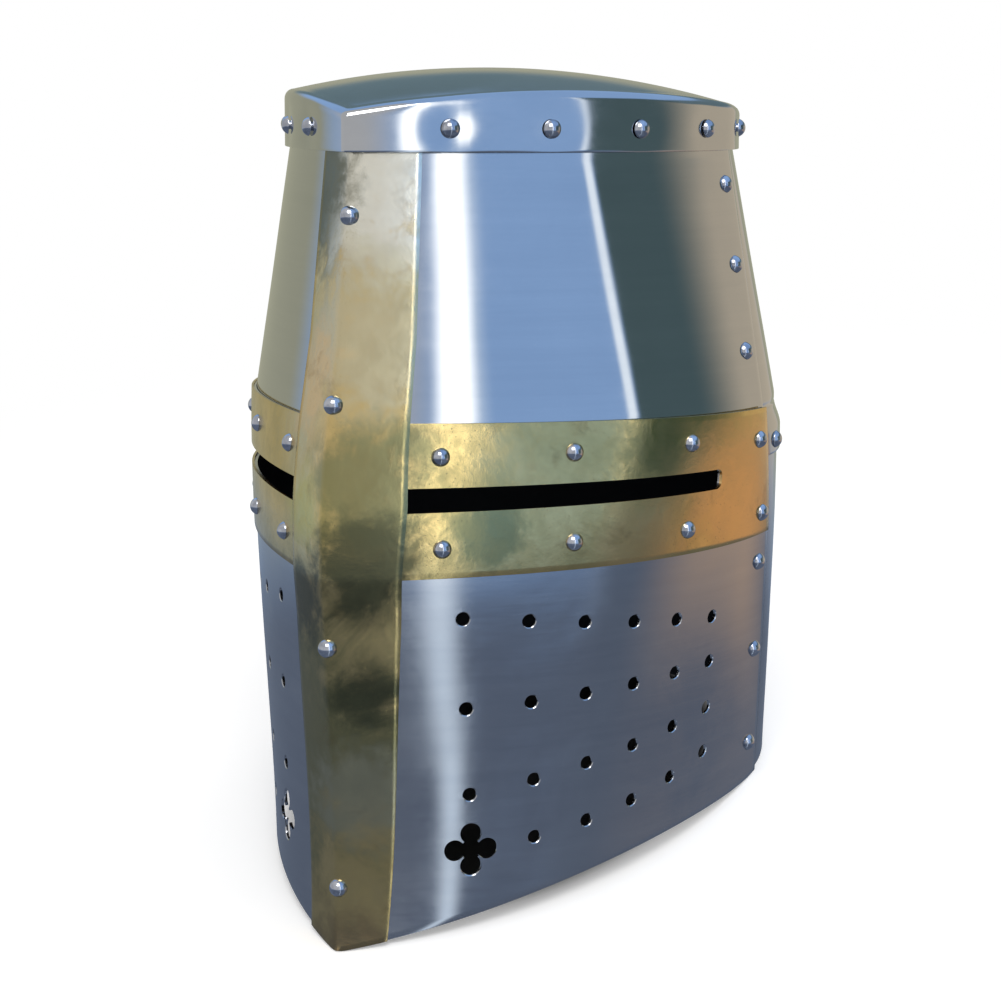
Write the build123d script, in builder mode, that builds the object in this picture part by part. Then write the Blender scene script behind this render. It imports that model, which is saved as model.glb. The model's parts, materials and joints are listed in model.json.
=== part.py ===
from build123d import *
import os
from dataclasses import dataclass
from math import asin, atan2, cos, degrees, prod, radians, sin, sqrt

# Great helm of riveted sheet steel with a brass cross, in millimetres.
# +Z is up, the keel of the face points to -Y, and +X is the wearer's left side.
# The origin lies in the middle plane, level with the lowest point of the keel.

# Sheets and fits
steel = 1.2
brass = 1.0
leather = 2.0
sheet_gap = 0.1
hole_gap = 0.1
overrun = 30.0
drill_length = 18.0

# Heights above the lowest point of the keel
flange_edge_height = 300.0
plate_top_height = 313.0
crown_rivet_height = 308.5
crown_height = 331.5
upper_plate_foot_height = 183.0
brow_bend_height = 202.0
rear_lap_top_height = 188.5
rear_flare_height = 199.0
rear_foot_height = 179.0
brow_lap_height = 182.0

# Outline of the plates above the brow: how far the keel reaches in front of the origin, half the breadth,
# the reach of the cheek's shoulder, and how far behind lie the widest point and the back
top_height = 204.0
top_keel = 137.0
top_half_breadth = 112.8
top_shoulder = 61.0
top_side = 7.0
top_back = 103.0

# Outlines at the crown, at the sights, at the cheeks and at the bottom, in the same order, each with how
# much narrower each side is than above the brow
crown_keel = 121.8
crown_narrowing = 22.2
crown_half_breadth = top_half_breadth - crown_narrowing
crown_shoulder = 63.2
crown_side = 6.8
crown_back = 91.0

sight_height = 140.0
sight_keel = 142.9
sight_narrowing = 3.2
sight_half_breadth = top_half_breadth - sight_narrowing
sight_shoulder = 70.0
sight_side = 18.0
sight_back = 111.0

cheek_height = 70.0
cheek_keel = 137.6
cheek_narrowing = 10.2
cheek_half_breadth = top_half_breadth - cheek_narrowing
cheek_shoulder = 81.0
cheek_side = 34.0
cheek_back = 120.5

bottom_keel = 137.0
bottom_narrowing = 16.5
bottom_half_breadth = top_half_breadth - bottom_narrowing
bottom_shoulder = 92.0
bottom_side = 52.0
bottom_back = 127.5

# Side seams: how far behind the origin the rivets lie, and the lap on each side of them
seam_crown = 6.5
seam_brow = -4.0
seam_sight = 12.0
seam_bottom = 41.0
seam_lap = 9.5
corner_gap = 0.8

# Bottom edge, seen from the side: it rises from the keel, levels out under the cheek and climbs
# straight to the back, so that the keel's point and the whole rear edge stand on one plane
edge_cheek_reach = 60.0
edge_cheek_rise = 36.0
edge_rear_start = 40.0
edge_rear_rise = 35.8
edge_level_run = 25.0
edge_slope_share = 0.2

# Crown cap: the radii of its top along and across the helm, and how far forward its highest point lies
cap_keel = 129.0
cap_side_gap = 0.2
cap_fold_radius = 4.0
cap_length_radius = 361.0
cap_breadth_radius = 347.0
cap_middle = 18.0

# Brass brow band and the sights
band_front_bottom = 145.0
band_front_top = 203.2
band_rear_bottom = 147.5
band_rear_top = 200.0
band_lap = 7.5
band_edge_gap = 0.4
sight_front_bottom = 170.0
sight_front_top = 179.2
sight_rear_bottom = 171.0
sight_rear_top = 178.8
sight_rear_reach = 29.0
sight_front_reach = 131.0
sight_corner = 2.5
sight_margin = 0.8

# Brass keel strip: half widths seen from the front, where it stands off the sheets and how far up it goes
strip_crown_half_width = 20.4
strip_sight_half_width = 25.0
strip_bottom_half_width = 17.0
strip_sight_height = 172.0
strip_top_height = 310.0
strip_leave_height = 232.0
strip_land_height = 128.0
strip_bottom_gap = 0.3

# Breaths: where their columns lie round the plate from the keel, and how their rows fan out
breath_diameter = 5.2
breath_front_along = 50.5
breath_rear_along = 163.5
breath_columns = 6
breath_crowding_share = 0.92
breath_top_front = 129.5
breath_top_rear = 118.0
breath_upper_front = 94.5
breath_upper_rear = 99.0
breath_lower_front = 60.5
breath_lower_rear = 79.0
breath_bottom_front = 38.5
breath_bottom_rear = 59.5
breath_bottom_sag = 2.9
quatrefoil_lobe_radius = 4.1
quatrefoil_lobe_offset = 6.3
quatrefoil_eye_radius = 4.0

# Rivets
head_radius = 3.5
head_height = 2.6
shank_radius = 1.6
tail_radius = 2.5
tail_height = 1.0
crown_rivets_each_side = 7
seam_rivet_crown_height = 287.0
seam_rivet_middle_height = 256.0
seam_rivet_low_height = 222.5
seam_rivet_sight_height = 135.0
seam_rivet_cheek_height = 96.0
seam_rivet_bottom_height = 52.5
brow_upper_rivet_height = 190.5
brow_lower_rivet_height = 156.5
brow_seam_rivet_height = 187.5
brow_upper_first_along = 41.2
brow_lower_first_along = 43.5
brow_rivet_spacing = 51.3
brow_rivets_each_side = 3
rear_rivet_height = 184.5
rear_rivet_behind_band = 13.8244
rear_rivets_each_side = 3
keel_rivet_crown_height = 277.5
keel_rivet_brow_height = 210.0
keel_rivet_cheek_height = 120.0
keel_rivet_bottom_height = 25.0

# Liner: a leather band under the brow, eight tongues that meet over the head, and a disc that joins them
liner_front_bottom = 184.5
liner_rear_bottom = 176.0
liner_top_height = 217.0
liner_corner_share = 0.13
liner_corner_handle_share = 0.15
tongue_bottom_height = 203.0
tongue_count = 8
tongue_thickness = 1.2
tongue_shoulder_height = 246.0
tongue_shoulder_share = 0.90
tongue_bend_height = 263.0
tongue_bend_share = 0.72
tongue_slope_height = 272.5
tongue_slope_share = 0.50
tongue_flat_height = 276.3
tongue_flat_share = 0.32
tongue_crown_height = 277.0
tongue_tip_share = 0.10
tongue_tip_radius = 15.0
tongue_edge_gap = 6.0
tongue_tip_gap = 1.4
disc_radius = 30.0
disc_rivet_circle_radius = 22.0
disc_rivet_radius = 1.3
disc_rivet_head_radius = 2.6
disc_rivet_head_height = 0.8
disc_rivet_tail_radius = 2.0
washer_radius = 4.2
washer_thickness = 0.7
washer_gap = 0.1


@dataclass
class Ring:
    """Level outline of a sheet's outer face: two cheeks that meet at the keel, and a round back."""

    height: float
    keel: float
    half_breadth: float
    shoulder: float
    side: float
    back: float

    def inset(self, depth):
        """The outline that lies this far inside, each cheek's guide lines moved square to themselves."""
        run = self.keel - self.shoulder
        leg = sqrt(self.half_breadth**2 + run**2)
        return Ring(
            self.height,
            self.keel - depth * leg / self.half_breadth,
            self.half_breadth - depth,
            self.shoulder - depth * (leg - run) / self.half_breadth,
            self.side,
            self.back - depth,
        )

    def shrunk(self, height, share):
        """The outline drawn in to this share of its size about its own middle, at another height."""
        middle = (self.keel - self.back) / 2
        return Ring(
            height,
            middle + share * (self.keel - middle),
            share * self.half_breadth,
            middle + share * (self.shoulder - middle),
            share * (self.side + middle) - middle,
            share * (self.back + middle) - middle,
        )

    def guides(self):
        """Points that shape the left cheek: the keel, the guide point and the widest point."""
        keel = Vector(0, -self.keel, self.height)
        guide = Vector(self.half_breadth, -self.shoulder, self.height)
        return keel, guide, Vector(self.half_breadth, self.side, self.height)

    def cheek(self, start_share=0):
        """Left edge of the outline, from this share of the way behind the keel to the widest point."""
        keel, guide, widest = self.guides()
        start = keel + (guide - keel) * start_share
        later_guide = guide + (widest - guide) * start_share
        return Edge.make_bezier(start + (later_guide - start) * start_share, later_guide, widest)

    def rear(self):
        """Left edge of the outline, from the widest point to the middle of the back."""
        plane = Plane((0, self.side, self.height))
        return Edge.make_ellipse(self.half_breadth, self.back - self.side, plane, 0, 90)

    def half(self):
        """Left half of the outline, from the keel to the middle of the back."""
        return Wire([self.cheek(), self.rear()])

    def outline(self):
        """Face inside the outline."""
        return face_inside([self.cheek(), self.rear()], self.height)

    def bridged_outline(self):
        """Face inside the outline of soft leather, which bridges the keel's corner in a curve."""
        cheek = self.cheek(liner_corner_share)
        corner = cheek.position_at(0)
        guide = corner - cheek.tangent_at(0) * liner_corner_handle_share * self.half_breadth
        other_corner = Vector(-corner.X, corner.Y, corner.Z)
        other_guide = Vector(-guide.X, guide.Y, guide.Z)
        bridge = Edge.make_bezier(other_corner, other_guide, guide, corner)
        return face_inside([cheek, self.rear()], self.height, [bridge])


def face_inside(left_edges, height, middle_edges=()):
    """Face inside these edges, their mirror images, and those that cross the middle plane."""
    edges = [*left_edges, *[edge.mirror(Plane.YZ) for edge in left_edges], *middle_edges]
    with BuildSketch(Plane.XY.offset(height)) as face:
        make_face(edges)
    return face.sketch


def through(stations, height):
    """Ring at a height on the smooth curve through the stations."""
    shares = [
        prod((height - far.height) / (near.height - far.height) for far in stations if far is not near)
        for near in stations
    ]

    def blend(name):
        return sum(share * getattr(ring, name) for share, ring in zip(shares, stations))

    return Ring(height, blend("keel"), blend("half_breadth"), blend("shoulder"), blend("side"), blend("back"))


lower_stations = [
    Ring(top_height, top_keel, top_half_breadth, top_shoulder, top_side, top_back),
    Ring(sight_height, sight_keel, sight_half_breadth, sight_shoulder, sight_side, sight_back),
    Ring(cheek_height, cheek_keel, cheek_half_breadth, cheek_shoulder, cheek_side, cheek_back),
    Ring(0, bottom_keel, bottom_half_breadth, bottom_shoulder, bottom_side, bottom_back),
]
crown_ring = Ring(
    flange_edge_height, crown_keel, crown_half_breadth, crown_shoulder, crown_side, crown_back
)


def lower_skin(height):
    """Outer face of the lower front plate."""
    return through(lower_stations, height)


def band_skin(height):
    """Outer face of the brow band, which lies on the lower front plate."""
    return lower_skin(height).inset(-sheet_gap - brass)


def rear_lower_skin(height):
    """Outer face of the lower back plate, which is tucked inside the lower front plate."""
    return lower_skin(height).inset(steel + sheet_gap)


def upper_skin(height):
    """Outer face of the upper front plate, which lies on the lower plate's top, leans in and stands up."""
    if height < brow_bend_height:
        return rear_lower_skin(height)
    if height > flange_edge_height:
        return through([crown_ring], height)
    return through([rear_lower_skin(brow_bend_height), crown_ring], height)


def rear_upper_skin(height):
    """Outer face of the upper back plate, tucked inside the front one and flared over the lower."""
    if height < rear_flare_height:
        return lower_skin(height)
    return upper_skin(height).inset(steel + sheet_gap)


def liner_skin(height):
    """Outer face of the leather band, clear of both upper plates."""
    return upper_skin(height).inset(2 * steel + 3 * sheet_gap)


def cap_skin(height):
    """Outer face of the cap's flange, with a sharper corner than the plates."""
    around = crown_ring.inset(-steel - cap_side_gap)
    return Ring(height, cap_keel, around.half_breadth, around.shoulder, around.side, around.back)


def strip_skin(height):
    """Outer face of the keel strip, which steps over the brow band and down to the plates."""
    proud = -sheet_gap - brass
    on_upper = upper_skin(strip_leave_height).inset(proud)
    on_band_top = band_skin(band_front_top).inset(proud)
    on_band_bottom = band_skin(band_front_bottom).inset(proud)
    on_lower = lower_skin(strip_land_height).inset(proud)
    if height >= strip_leave_height:
        return upper_skin(height).inset(proud)
    if height > band_front_top:
        return through([on_upper, on_band_top], height)
    if height >= band_front_bottom:
        return band_skin(height).inset(proud)
    if height > strip_land_height:
        return through([on_band_bottom, on_lower], height)
    return lower_skin(height).inset(proud)


def sheet(skin, heights, thickness, smooth=False):
    """Add a shell of even thickness whose outer face is the skin, through these heights."""
    rings = [skin(height) for height in heights]
    loft([ring.outline() for ring in rings], ruled=not smooth)
    loft([ring.inset(thickness).outline() for ring in rings], ruled=not smooth, mode=Mode.SUBTRACT)


def steps(start, end, count):
    """Heights from the start to the end in equal steps."""
    return [start + number * (end - start) / count for number in range(count + 1)]


lower_heights = steps(-overrun / 5, top_height + overrun / 2, 7)


seam_knots = [
    (0, seam_bottom),
    (sight_height, seam_sight),
    (brow_bend_height, seam_brow),
    (flange_edge_height, seam_crown),
]


def seam(height):
    """How far behind the origin the side seam's rivets lie at this height."""
    spans = list(zip(seam_knots, seam_knots[1:]))
    (low, start), (high, end) = next((span for span in spans if height < span[1][0]), spans[-1])
    return start + (height - low) / (high - low) * (end - start)


def seam_line(offset, start, end):
    """Points of a line beside the side seam, as distance behind the origin and height."""
    bends = [height for height, _ in seam_knots if min(start, end) < height < max(start, end)]
    heights = sorted([start, *bends, end], reverse=start > end)
    return [(seam(height) + offset, height) for height in heights]


front_reach = -sight_keel - overrun
back_reach = bottom_back + overrun
side_reach = top_half_breadth + overrun
above = crown_height + overrun
below = -overrun


def extended(start, end, reach):
    """Point this far behind the origin on the line through two points of the side view."""
    share = (reach - start[0]) / (end[0] - start[0])
    return reach, start[1] + share * (end[1] - start[1])


def keep_side_view(*points):
    """Keep what lies inside this outline, given as distance behind the origin and height."""
    with BuildSketch(Plane.YZ) as view:
        with BuildLine():
            Polyline(*points, close=True)
        make_face()
    extrude(view.sketch, amount=side_reach, both=True, mode=Mode.INTERSECT)


def cut_bottom_edge(gap=0):
    """Cut away what lies below the helm's bottom edge, or below this far above it."""
    start = (-bottom_keel, gap)
    level_end = (edge_rear_start, edge_rear_rise + gap)
    level_guide = (edge_rear_start - edge_level_run, edge_rear_rise - edge_level_run * edge_slope_share + gap)
    back_end = (back_reach, edge_rear_rise + (back_reach - edge_rear_start) * edge_slope_share + gap)
    with BuildSketch(Plane.YZ) as under:
        with BuildLine():
            Line((front_reach, gap), start)
            Bezier(start, (-edge_cheek_reach, edge_cheek_rise + gap), level_guide, level_end)
            Line(level_end, back_end)
            Polyline(back_end, (back_reach, below), (front_reach, below), (front_reach, gap))
        make_face()
    extrude(under.sketch, amount=side_reach, both=True, mode=Mode.SUBTRACT)


def cut_sights(margin=0):
    """Cut the two sights, this much larger all round."""
    with BuildSketch(Plane.YZ) as view:
        with BuildLine():
            Polyline(
                (-sight_front_reach - margin, sight_front_bottom - margin),
                (-sight_rear_reach + margin, sight_rear_bottom - margin),
                (-sight_rear_reach + margin, sight_rear_top + margin),
                (-sight_front_reach - margin, sight_front_top + margin),
                close=True,
            )
        make_face()
        fillet(view.vertices(), sight_corner + margin)
    extrude(view.sketch, amount=side_reach, both=True, mode=Mode.SUBTRACT)


def at_along(skin, height, along):
    """Point and forward direction on the skin's left side, this far round it from the keel."""
    half = skin(height).half()
    return (
        half.position_at(along, position_mode=PositionMode.LENGTH),
        half.tangent_at(along, position_mode=PositionMode.LENGTH),
    )


def at_behind(skin, height, behind):
    """Point and forward direction on the skin's left side, this far behind the origin."""
    ring = skin(height)
    if behind < ring.side:
        keel, guide, widest = ring.guides()
        rise, bend = guide.Y - keel.Y, widest.Y - 2 * guide.Y + keel.Y
        share = (sqrt(rise**2 + bend * (behind - keel.Y)) - rise) / bend
        forward = (guide - keel) * (1 - share) + (widest - guide) * share
        return keel + (guide - keel) * share + forward * share, forward
    length, angle = ring.back - ring.side, asin((behind - ring.side) / (ring.back - ring.side))
    point = Vector(ring.half_breadth * cos(angle), behind, height)
    return point, Vector(-ring.half_breadth * sin(angle), length * cos(angle), 0)


def along_to(skin, height, behind):
    """How far round the skin's left side from the keel the point lies that is this far behind the origin."""
    point, _ = at_behind(skin, height, behind)
    half = skin(height).half()
    return half.param_at_point(point) * half.length


def seat(place, skin, height, distance):
    """Plane on the skin whose normal points out of the helm."""
    point, forward = place(skin, height, distance)
    upper, _ = place(skin, height + steel, distance)
    lower, _ = place(skin, height - steel, distance)
    return Plane(point, x_dir=forward, z_dir=forward.cross(upper - lower))


def back_seat(skin, height):
    """Plane on the skin in the middle of the back."""
    lower, upper = skin(height - steel), skin(height + steel)
    rise = Vector(0, upper.back - lower.back, 2 * steel)
    return Plane((0, skin(height).back, height), x_dir=(-1, 0, 0), z_dir=Vector(-1, 0, 0).cross(rise))


def keel_seat(skin, height):
    """Plane on the skin's keel, square to the fold."""
    lower, upper = skin(height - steel), skin(height + steel)
    rise = Vector(0, lower.keel - upper.keel, 2 * steel)
    return Plane((0, -skin(height).keel, height), x_dir=(1, 0, 0), z_dir=Vector(1, 0, 0).cross(rise))


def mirrored(plane):
    """The same seat on the other side of the helm."""
    point, forward, outward = plane.origin, plane.x_dir, plane.z_dir
    return Plane(
        (-point.X, point.Y, point.Z),
        x_dir=(-forward.X, forward.Y, forward.Z),
        z_dir=(-outward.X, outward.Y, outward.Z),
    )


def both_sides(planes):
    """Seats on the left side, and the same on the right side."""
    return [*planes, *[mirrored(plane) for plane in planes]]


def depth_under(plane, skin, thickness):
    """Distance from a seat on either side down to the inner face of a sheet that lies under it."""
    half = skin(plane.origin.Z).inset(thickness).half()
    return Vertex(abs(plane.origin.X), plane.origin.Y, plane.origin.Z).distance_to(half) + sheet_gap


def drill(planes, radius=shank_radius + hole_gap):
    """Drill holes at these seats."""
    with Locations(*planes):
        Cylinder(radius, drill_length, mode=Mode.SUBTRACT)


def turned(plane, *points):
    """Add the solid that this profile, given as radius and height over the seat, sweeps round the seat."""
    with BuildSketch(Plane(plane.origin, x_dir=plane.x_dir, z_dir=-plane.y_dir)) as profile:
        with BuildLine():
            Polyline(*points, close=True)
        make_face()
    revolve(profile.sketch, axis=Axis(plane.origin, plane.z_dir))


def domed_head(plane, radius=head_radius, rise=head_height):
    """Add a rivet's round head at a seat."""
    with BuildSketch(Plane(plane.origin, x_dir=plane.x_dir, z_dir=-plane.y_dir)) as profile:
        with BuildLine():
            RadiusArc((radius, 0), (0, rise), -(radius**2 + rise**2) / (2 * rise))
            Polyline((0, rise), (0, 0), (radius, 0))
        make_face()
    revolve(profile.sketch, axis=Axis(plane.origin, plane.z_dir))


def shank_and_tail(plane, grip, radius=shank_radius, tail=tail_radius):
    """Add a rivet's shank from its head to the end that is hammered over, this far below the seat."""
    end = -grip - tail_height
    turned(plane, (0, 0), (radius, 0), (radius, -grip), (tail, -grip), (radius, end), (0, end))


def rivet(plane, grip):
    """Add a round-headed rivet at a seat."""
    domed_head(plane)
    shank_and_tail(plane, grip)


def keel_rivet(skin, height, under_skin, thickness):
    """Add a rivet on the keel, whose head is hammered down over the fold."""
    plane, ring = keel_seat(skin, height), skin(height)
    slope = (ring.keel - ring.shoulder) / ring.half_breadth
    domed_head(plane)
    turned(plane, (0, 0), (head_radius, 0), (head_radius, -head_radius * slope), (0, -head_radius * slope))
    start = plane.origin - plane.y_dir * 2 * head_radius
    reach, depth = 2 * head_radius, 2 * head_radius * slope
    with BuildSketch(Plane(start, x_dir=plane.x_dir, z_dir=plane.y_dir)) as fold:
        with BuildLine():
            Polyline((0, -sheet_gap), (reach, depth - sheet_gap), (-reach, depth - sheet_gap), close=True)
        make_face()
    extrude(fold.sketch, amount=4 * head_radius, mode=Mode.SUBTRACT)
    inner = ring.keel - under_skin(height).inset(thickness).keel
    shank_and_tail(plane, inner + tail_radius * slope + sheet_gap)


# Seats of the rivets on the left side and in the middle plane
cap_half = cap_skin(crown_rivet_height).half().length
crown_seats = [
    seat(at_along, cap_skin, crown_rivet_height, number * cap_half / (crown_rivets_each_side + 1))
    for number in range(1, crown_rivets_each_side + 1)
]
crown_back_seat = back_seat(cap_skin, crown_rivet_height)
upper_seam_heights = [seam_rivet_crown_height, seam_rivet_middle_height, seam_rivet_low_height]
lower_seam_heights = [seam_rivet_sight_height, seam_rivet_cheek_height, seam_rivet_bottom_height]
upper_seam_seats = [seat(at_behind, upper_skin, z, seam(z)) for z in upper_seam_heights]
lower_seam_seats = [seat(at_behind, lower_skin, z, seam(z)) for z in lower_seam_heights]
brow_steps = [number * brow_rivet_spacing for number in range(brow_rivets_each_side)]
brow_upper_seats = [
    seat(at_along, band_skin, brow_upper_rivet_height, brow_upper_first_along + step) for step in brow_steps
]
brow_upper_seats.append(seat(at_behind, band_skin, brow_seam_rivet_height, seam(brow_seam_rivet_height)))
brow_lower_seats = [
    seat(at_along, band_skin, brow_lower_rivet_height, brow_lower_first_along + step) for step in brow_steps
]
brow_seam_seat = seat(at_behind, band_skin, brow_lower_rivet_height, seam(brow_lower_rivet_height))
band_end_along = along_to(lower_skin, rear_rivet_height, seam(rear_rivet_height) + band_lap)
rear_rivet_first_along = band_end_along + rear_rivet_behind_band
rear_half = lower_skin(rear_rivet_height).half().length
rear_step = (rear_half - rear_rivet_first_along) / rear_rivets_each_side
rear_seats = [
    seat(at_along, lower_skin, rear_rivet_height, rear_rivet_first_along + number * rear_step)
    for number in range(rear_rivets_each_side)
]
rear_back_seat = back_seat(lower_skin, rear_rivet_height)
crown_keel_seat = keel_seat(strip_skin, keel_rivet_crown_height)
brow_keel_seat = keel_seat(strip_skin, keel_rivet_brow_height)
cheek_keel_seat = keel_seat(strip_skin, keel_rivet_cheek_height)
bottom_keel_seat = keel_seat(strip_skin, keel_rivet_bottom_height)

os.makedirs("parts", exist_ok=True)

# Upper plates: the front one laps over the back one at the sides, and both stand inside the cap
with BuildPart() as upper_front_plate:
    sheet(
        upper_skin,
        [upper_plate_foot_height, brow_bend_height, flange_edge_height, plate_top_height],
        steel,
    )
    keep_side_view(
        (front_reach, below),
        *seam_line(seam_lap, below, above),
        (front_reach, above),
    )
    drill(both_sides(crown_seats + upper_seam_seats + brow_upper_seats))
    drill([crown_keel_seat, brow_keel_seat])
upper_front_plate.part.label = "upper_front_plate"
export_step(upper_front_plate.part, "parts/upper_front_plate.step")

foot_start = seam_lap + corner_gap
with BuildPart() as upper_back_plate:
    sheet(
        rear_upper_skin,
        [
            rear_foot_height,
            rear_lap_top_height,
            rear_flare_height,
            brow_bend_height,
            flange_edge_height,
            plate_top_height,
        ],
        steel,
    )
    keep_side_view(
        *seam_line(-seam_lap, above, rear_flare_height),
        *seam_line(foot_start, rear_flare_height, below),
        (back_reach, below),
        (back_reach, above),
    )
    drill(both_sides(crown_seats + upper_seam_seats + rear_seats))
    drill([crown_back_seat, rear_back_seat])
upper_back_plate.part.label = "upper_back_plate"
export_step(upper_back_plate.part, "parts/upper_back_plate.step")

# Lower front plate with the sights, the breaths and the two quatrefoils
breath_rows = [
    (breath_top_front, breath_top_rear, 0),
    (breath_upper_front, breath_upper_rear, 0),
    (breath_lower_front, breath_lower_rear, 0),
    (breath_bottom_front, breath_bottom_rear, breath_bottom_sag),
]
breath_places = [
    (front + share * (rear - front) - 4 * sag * share * (1 - share), share**breath_crowding_share)
    for front, rear, sag in breath_rows
    for share in steps(0, 1, breath_columns - 1)
]
breath_seats = [
    seat(at_along, lower_skin, height, breath_front_along + way * (breath_rear_along - breath_front_along))
    for height, way in breath_places
]
quatrefoil_seat = breath_seats.pop(-breath_columns)

plate_front_end = (-lower_skin(band_front_top).keel, band_front_top - band_edge_gap)
plate_rear_end = (seam(band_rear_top) + seam_lap, band_rear_top - band_edge_gap)
with BuildPart() as lower_front_plate:
    sheet(lower_skin, lower_heights, steel, smooth=True)
    keep_side_view(
        (front_reach, below),
        *seam_line(seam_lap, below, band_rear_top - band_edge_gap),
        extended(plate_rear_end, plate_front_end, front_reach),
    )
    cut_bottom_edge()
    cut_sights(sight_margin)
    drill(both_sides(brow_upper_seats + brow_lower_seats + [brow_seam_seat] + lower_seam_seats))
    drill([cheek_keel_seat, bottom_keel_seat])
    drill(both_sides(breath_seats), breath_diameter / 2)
    for plane in both_sides([quatrefoil_seat]):
        with BuildSketch(plane) as quatrefoil:
            Circle(quatrefoil_eye_radius)
            with PolarLocations(quatrefoil_lobe_offset, 4):
                Circle(quatrefoil_lobe_radius)
        extrude(quatrefoil.sketch, amount=drill_length / 2, both=True, mode=Mode.SUBTRACT)
lower_front_plate.part.label = "lower_front_plate"
export_step(lower_front_plate.part, "parts/lower_front_plate.step")

# Lower back plate, whose front edges are tucked behind the front plate
with BuildPart() as lower_back_plate:
    sheet(rear_lower_skin, lower_heights, steel, smooth=True)
    keep_side_view(
        *seam_line(-seam_lap, below, brow_lap_height),
        *seam_line(foot_start, brow_lap_height, rear_lap_top_height),
        (back_reach, rear_lap_top_height),
        (back_reach, below),
    )
    cut_bottom_edge()
    drill(both_sides(lower_seam_seats + [brow_seam_seat] + rear_seats))
    drill([rear_back_seat])
lower_back_plate.part.label = "lower_back_plate"
export_step(lower_back_plate.part, "parts/lower_back_plate.step")

# Brow band, folded over the keel
band_rear_bottom_corner = (seam(band_rear_bottom) + band_lap, band_rear_bottom)
band_rear_top_corner = (seam(band_rear_top) + band_lap, band_rear_top)
band_front_bottom_corner = (-band_skin(band_front_bottom).keel, band_front_bottom)
band_front_top_corner = (-band_skin(band_front_top).keel, band_front_top)
with BuildPart() as brow_band:
    sheet(band_skin, lower_heights, brass, smooth=True)
    keep_side_view(
        band_rear_bottom_corner,
        band_rear_top_corner,
        extended(band_rear_top_corner, band_front_top_corner, front_reach),
        extended(band_rear_bottom_corner, band_front_bottom_corner, front_reach),
    )
    cut_sights()
    drill(both_sides(brow_upper_seats + brow_lower_seats + [brow_seam_seat]))
brow_band.part.label = "brow_band"
export_step(brow_band.part, "parts/brow_band.step")

# Keel strip, the upright of the cross
with BuildPart() as keel_strip:
    sheet(strip_skin, steps(-overrun / 5, strip_land_height, 4), brass, smooth=True)
    sheet(strip_skin, [strip_land_height, band_front_bottom], brass)
    sheet(strip_skin, steps(band_front_bottom, band_front_top, 4), brass, smooth=True)
    sheet(strip_skin, [band_front_top, strip_leave_height, flange_edge_height, strip_top_height], brass)
    with BuildSketch(Plane.XZ) as front_view:
        with BuildLine():
            Polyline(
                (strip_bottom_half_width, 0),
                (strip_sight_half_width, strip_sight_height),
                (strip_crown_half_width, strip_top_height),
                (-strip_crown_half_width, strip_top_height),
                (-strip_sight_half_width, strip_sight_height),
                (-strip_bottom_half_width, 0),
                close=True,
            )
        make_face()
    extrude(front_view.sketch, amount=sight_keel + overrun, mode=Mode.INTERSECT)
    cut_bottom_edge(strip_bottom_gap)
    drill([crown_keel_seat, brow_keel_seat, cheek_keel_seat, bottom_keel_seat])
keel_strip.part.label = "keel_strip"
export_step(keel_strip.part, "parts/keel_strip.step")


def cap_blank(depth, bottom):
    """Solid that fills the cap, or the room inside it, from this height up."""
    length_radius, rise = cap_length_radius - depth, crown_height - depth
    reach = cap_keel + cap_middle + overrun
    drop = length_radius - sqrt(length_radius**2 - reach**2)
    axis_height = crown_height - cap_breadth_radius
    ends = (-cap_middle - reach, rise - drop), (-cap_middle + reach, rise - drop)
    with BuildPart() as blank:
        extrude(cap_skin(bottom).inset(depth).outline(), amount=above - bottom)
        with BuildSketch(Plane.YZ) as barrel:
            with BuildLine():
                ThreePointArc(ends[0], (-cap_middle, rise), ends[1])
                Polyline(ends[1], (ends[1][0], axis_height), (ends[0][0], axis_height), ends[0])
            make_face()
        revolve(barrel.sketch, axis=Axis((0, 0, axis_height), (0, 1, 0)), mode=Mode.INTERSECT)
        top = blank.faces().sort_by(Axis.Z)[-1]
        fillet(top.edges(), cap_fold_radius - depth)
    return blank.part


# Crown cap, whose flange is folded down over the upper plates
cap_outside = cap_blank(0, flange_edge_height)
cap_inside = cap_blank(steel, flange_edge_height - overrun)
with BuildPart() as crown_cap:
    add(cap_outside)
    add(cap_inside, mode=Mode.SUBTRACT)
    drill(both_sides(crown_seats))
    drill([crown_back_seat])
crown_cap.part.label = "crown_cap"
export_step(crown_cap.part, "parts/crown_cap.step")

# Rivets, in groups of one kind and place
with BuildPart() as crown_rivets:
    for plane in both_sides(crown_seats):
        only_front = plane.origin.Y + tail_radius < seam(flange_edge_height) - seam_lap
        grip = depth_under(plane, upper_skin if only_front else rear_upper_skin, steel)
        rivet(plane, grip + sheet_gap)
    rivet(crown_back_seat, depth_under(crown_back_seat, rear_upper_skin, steel) + sheet_gap)
crown_rivets.part.label = "crown_rivets"
export_step(crown_rivets.part, "parts/crown_rivets.step")

with BuildPart() as left_seam_rivets:
    for plane in upper_seam_seats:
        rivet(plane, depth_under(plane, rear_upper_skin, steel))
    for plane in lower_seam_seats:
        rivet(plane, depth_under(plane, rear_lower_skin, steel))
left_seam_rivets.part.label = "left_seam_rivets"
export_step(left_seam_rivets.part, "parts/left_seam_rivets.step")

with BuildPart() as right_seam_rivets:
    mirror(left_seam_rivets.part, about=Plane.YZ)
right_seam_rivets.part.label = "right_seam_rivets"
export_step(right_seam_rivets.part, "parts/right_seam_rivets.step")

washer_room = washer_gap + washer_thickness + sheet_gap
with BuildPart() as brow_upper_rivets:
    for plane in both_sides(brow_upper_seats):
        rivet(plane, depth_under(plane, liner_skin, leather) + washer_room)
brow_upper_rivets.part.label = "brow_upper_rivets"
export_step(brow_upper_rivets.part, "parts/brow_upper_rivets.step")

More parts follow.
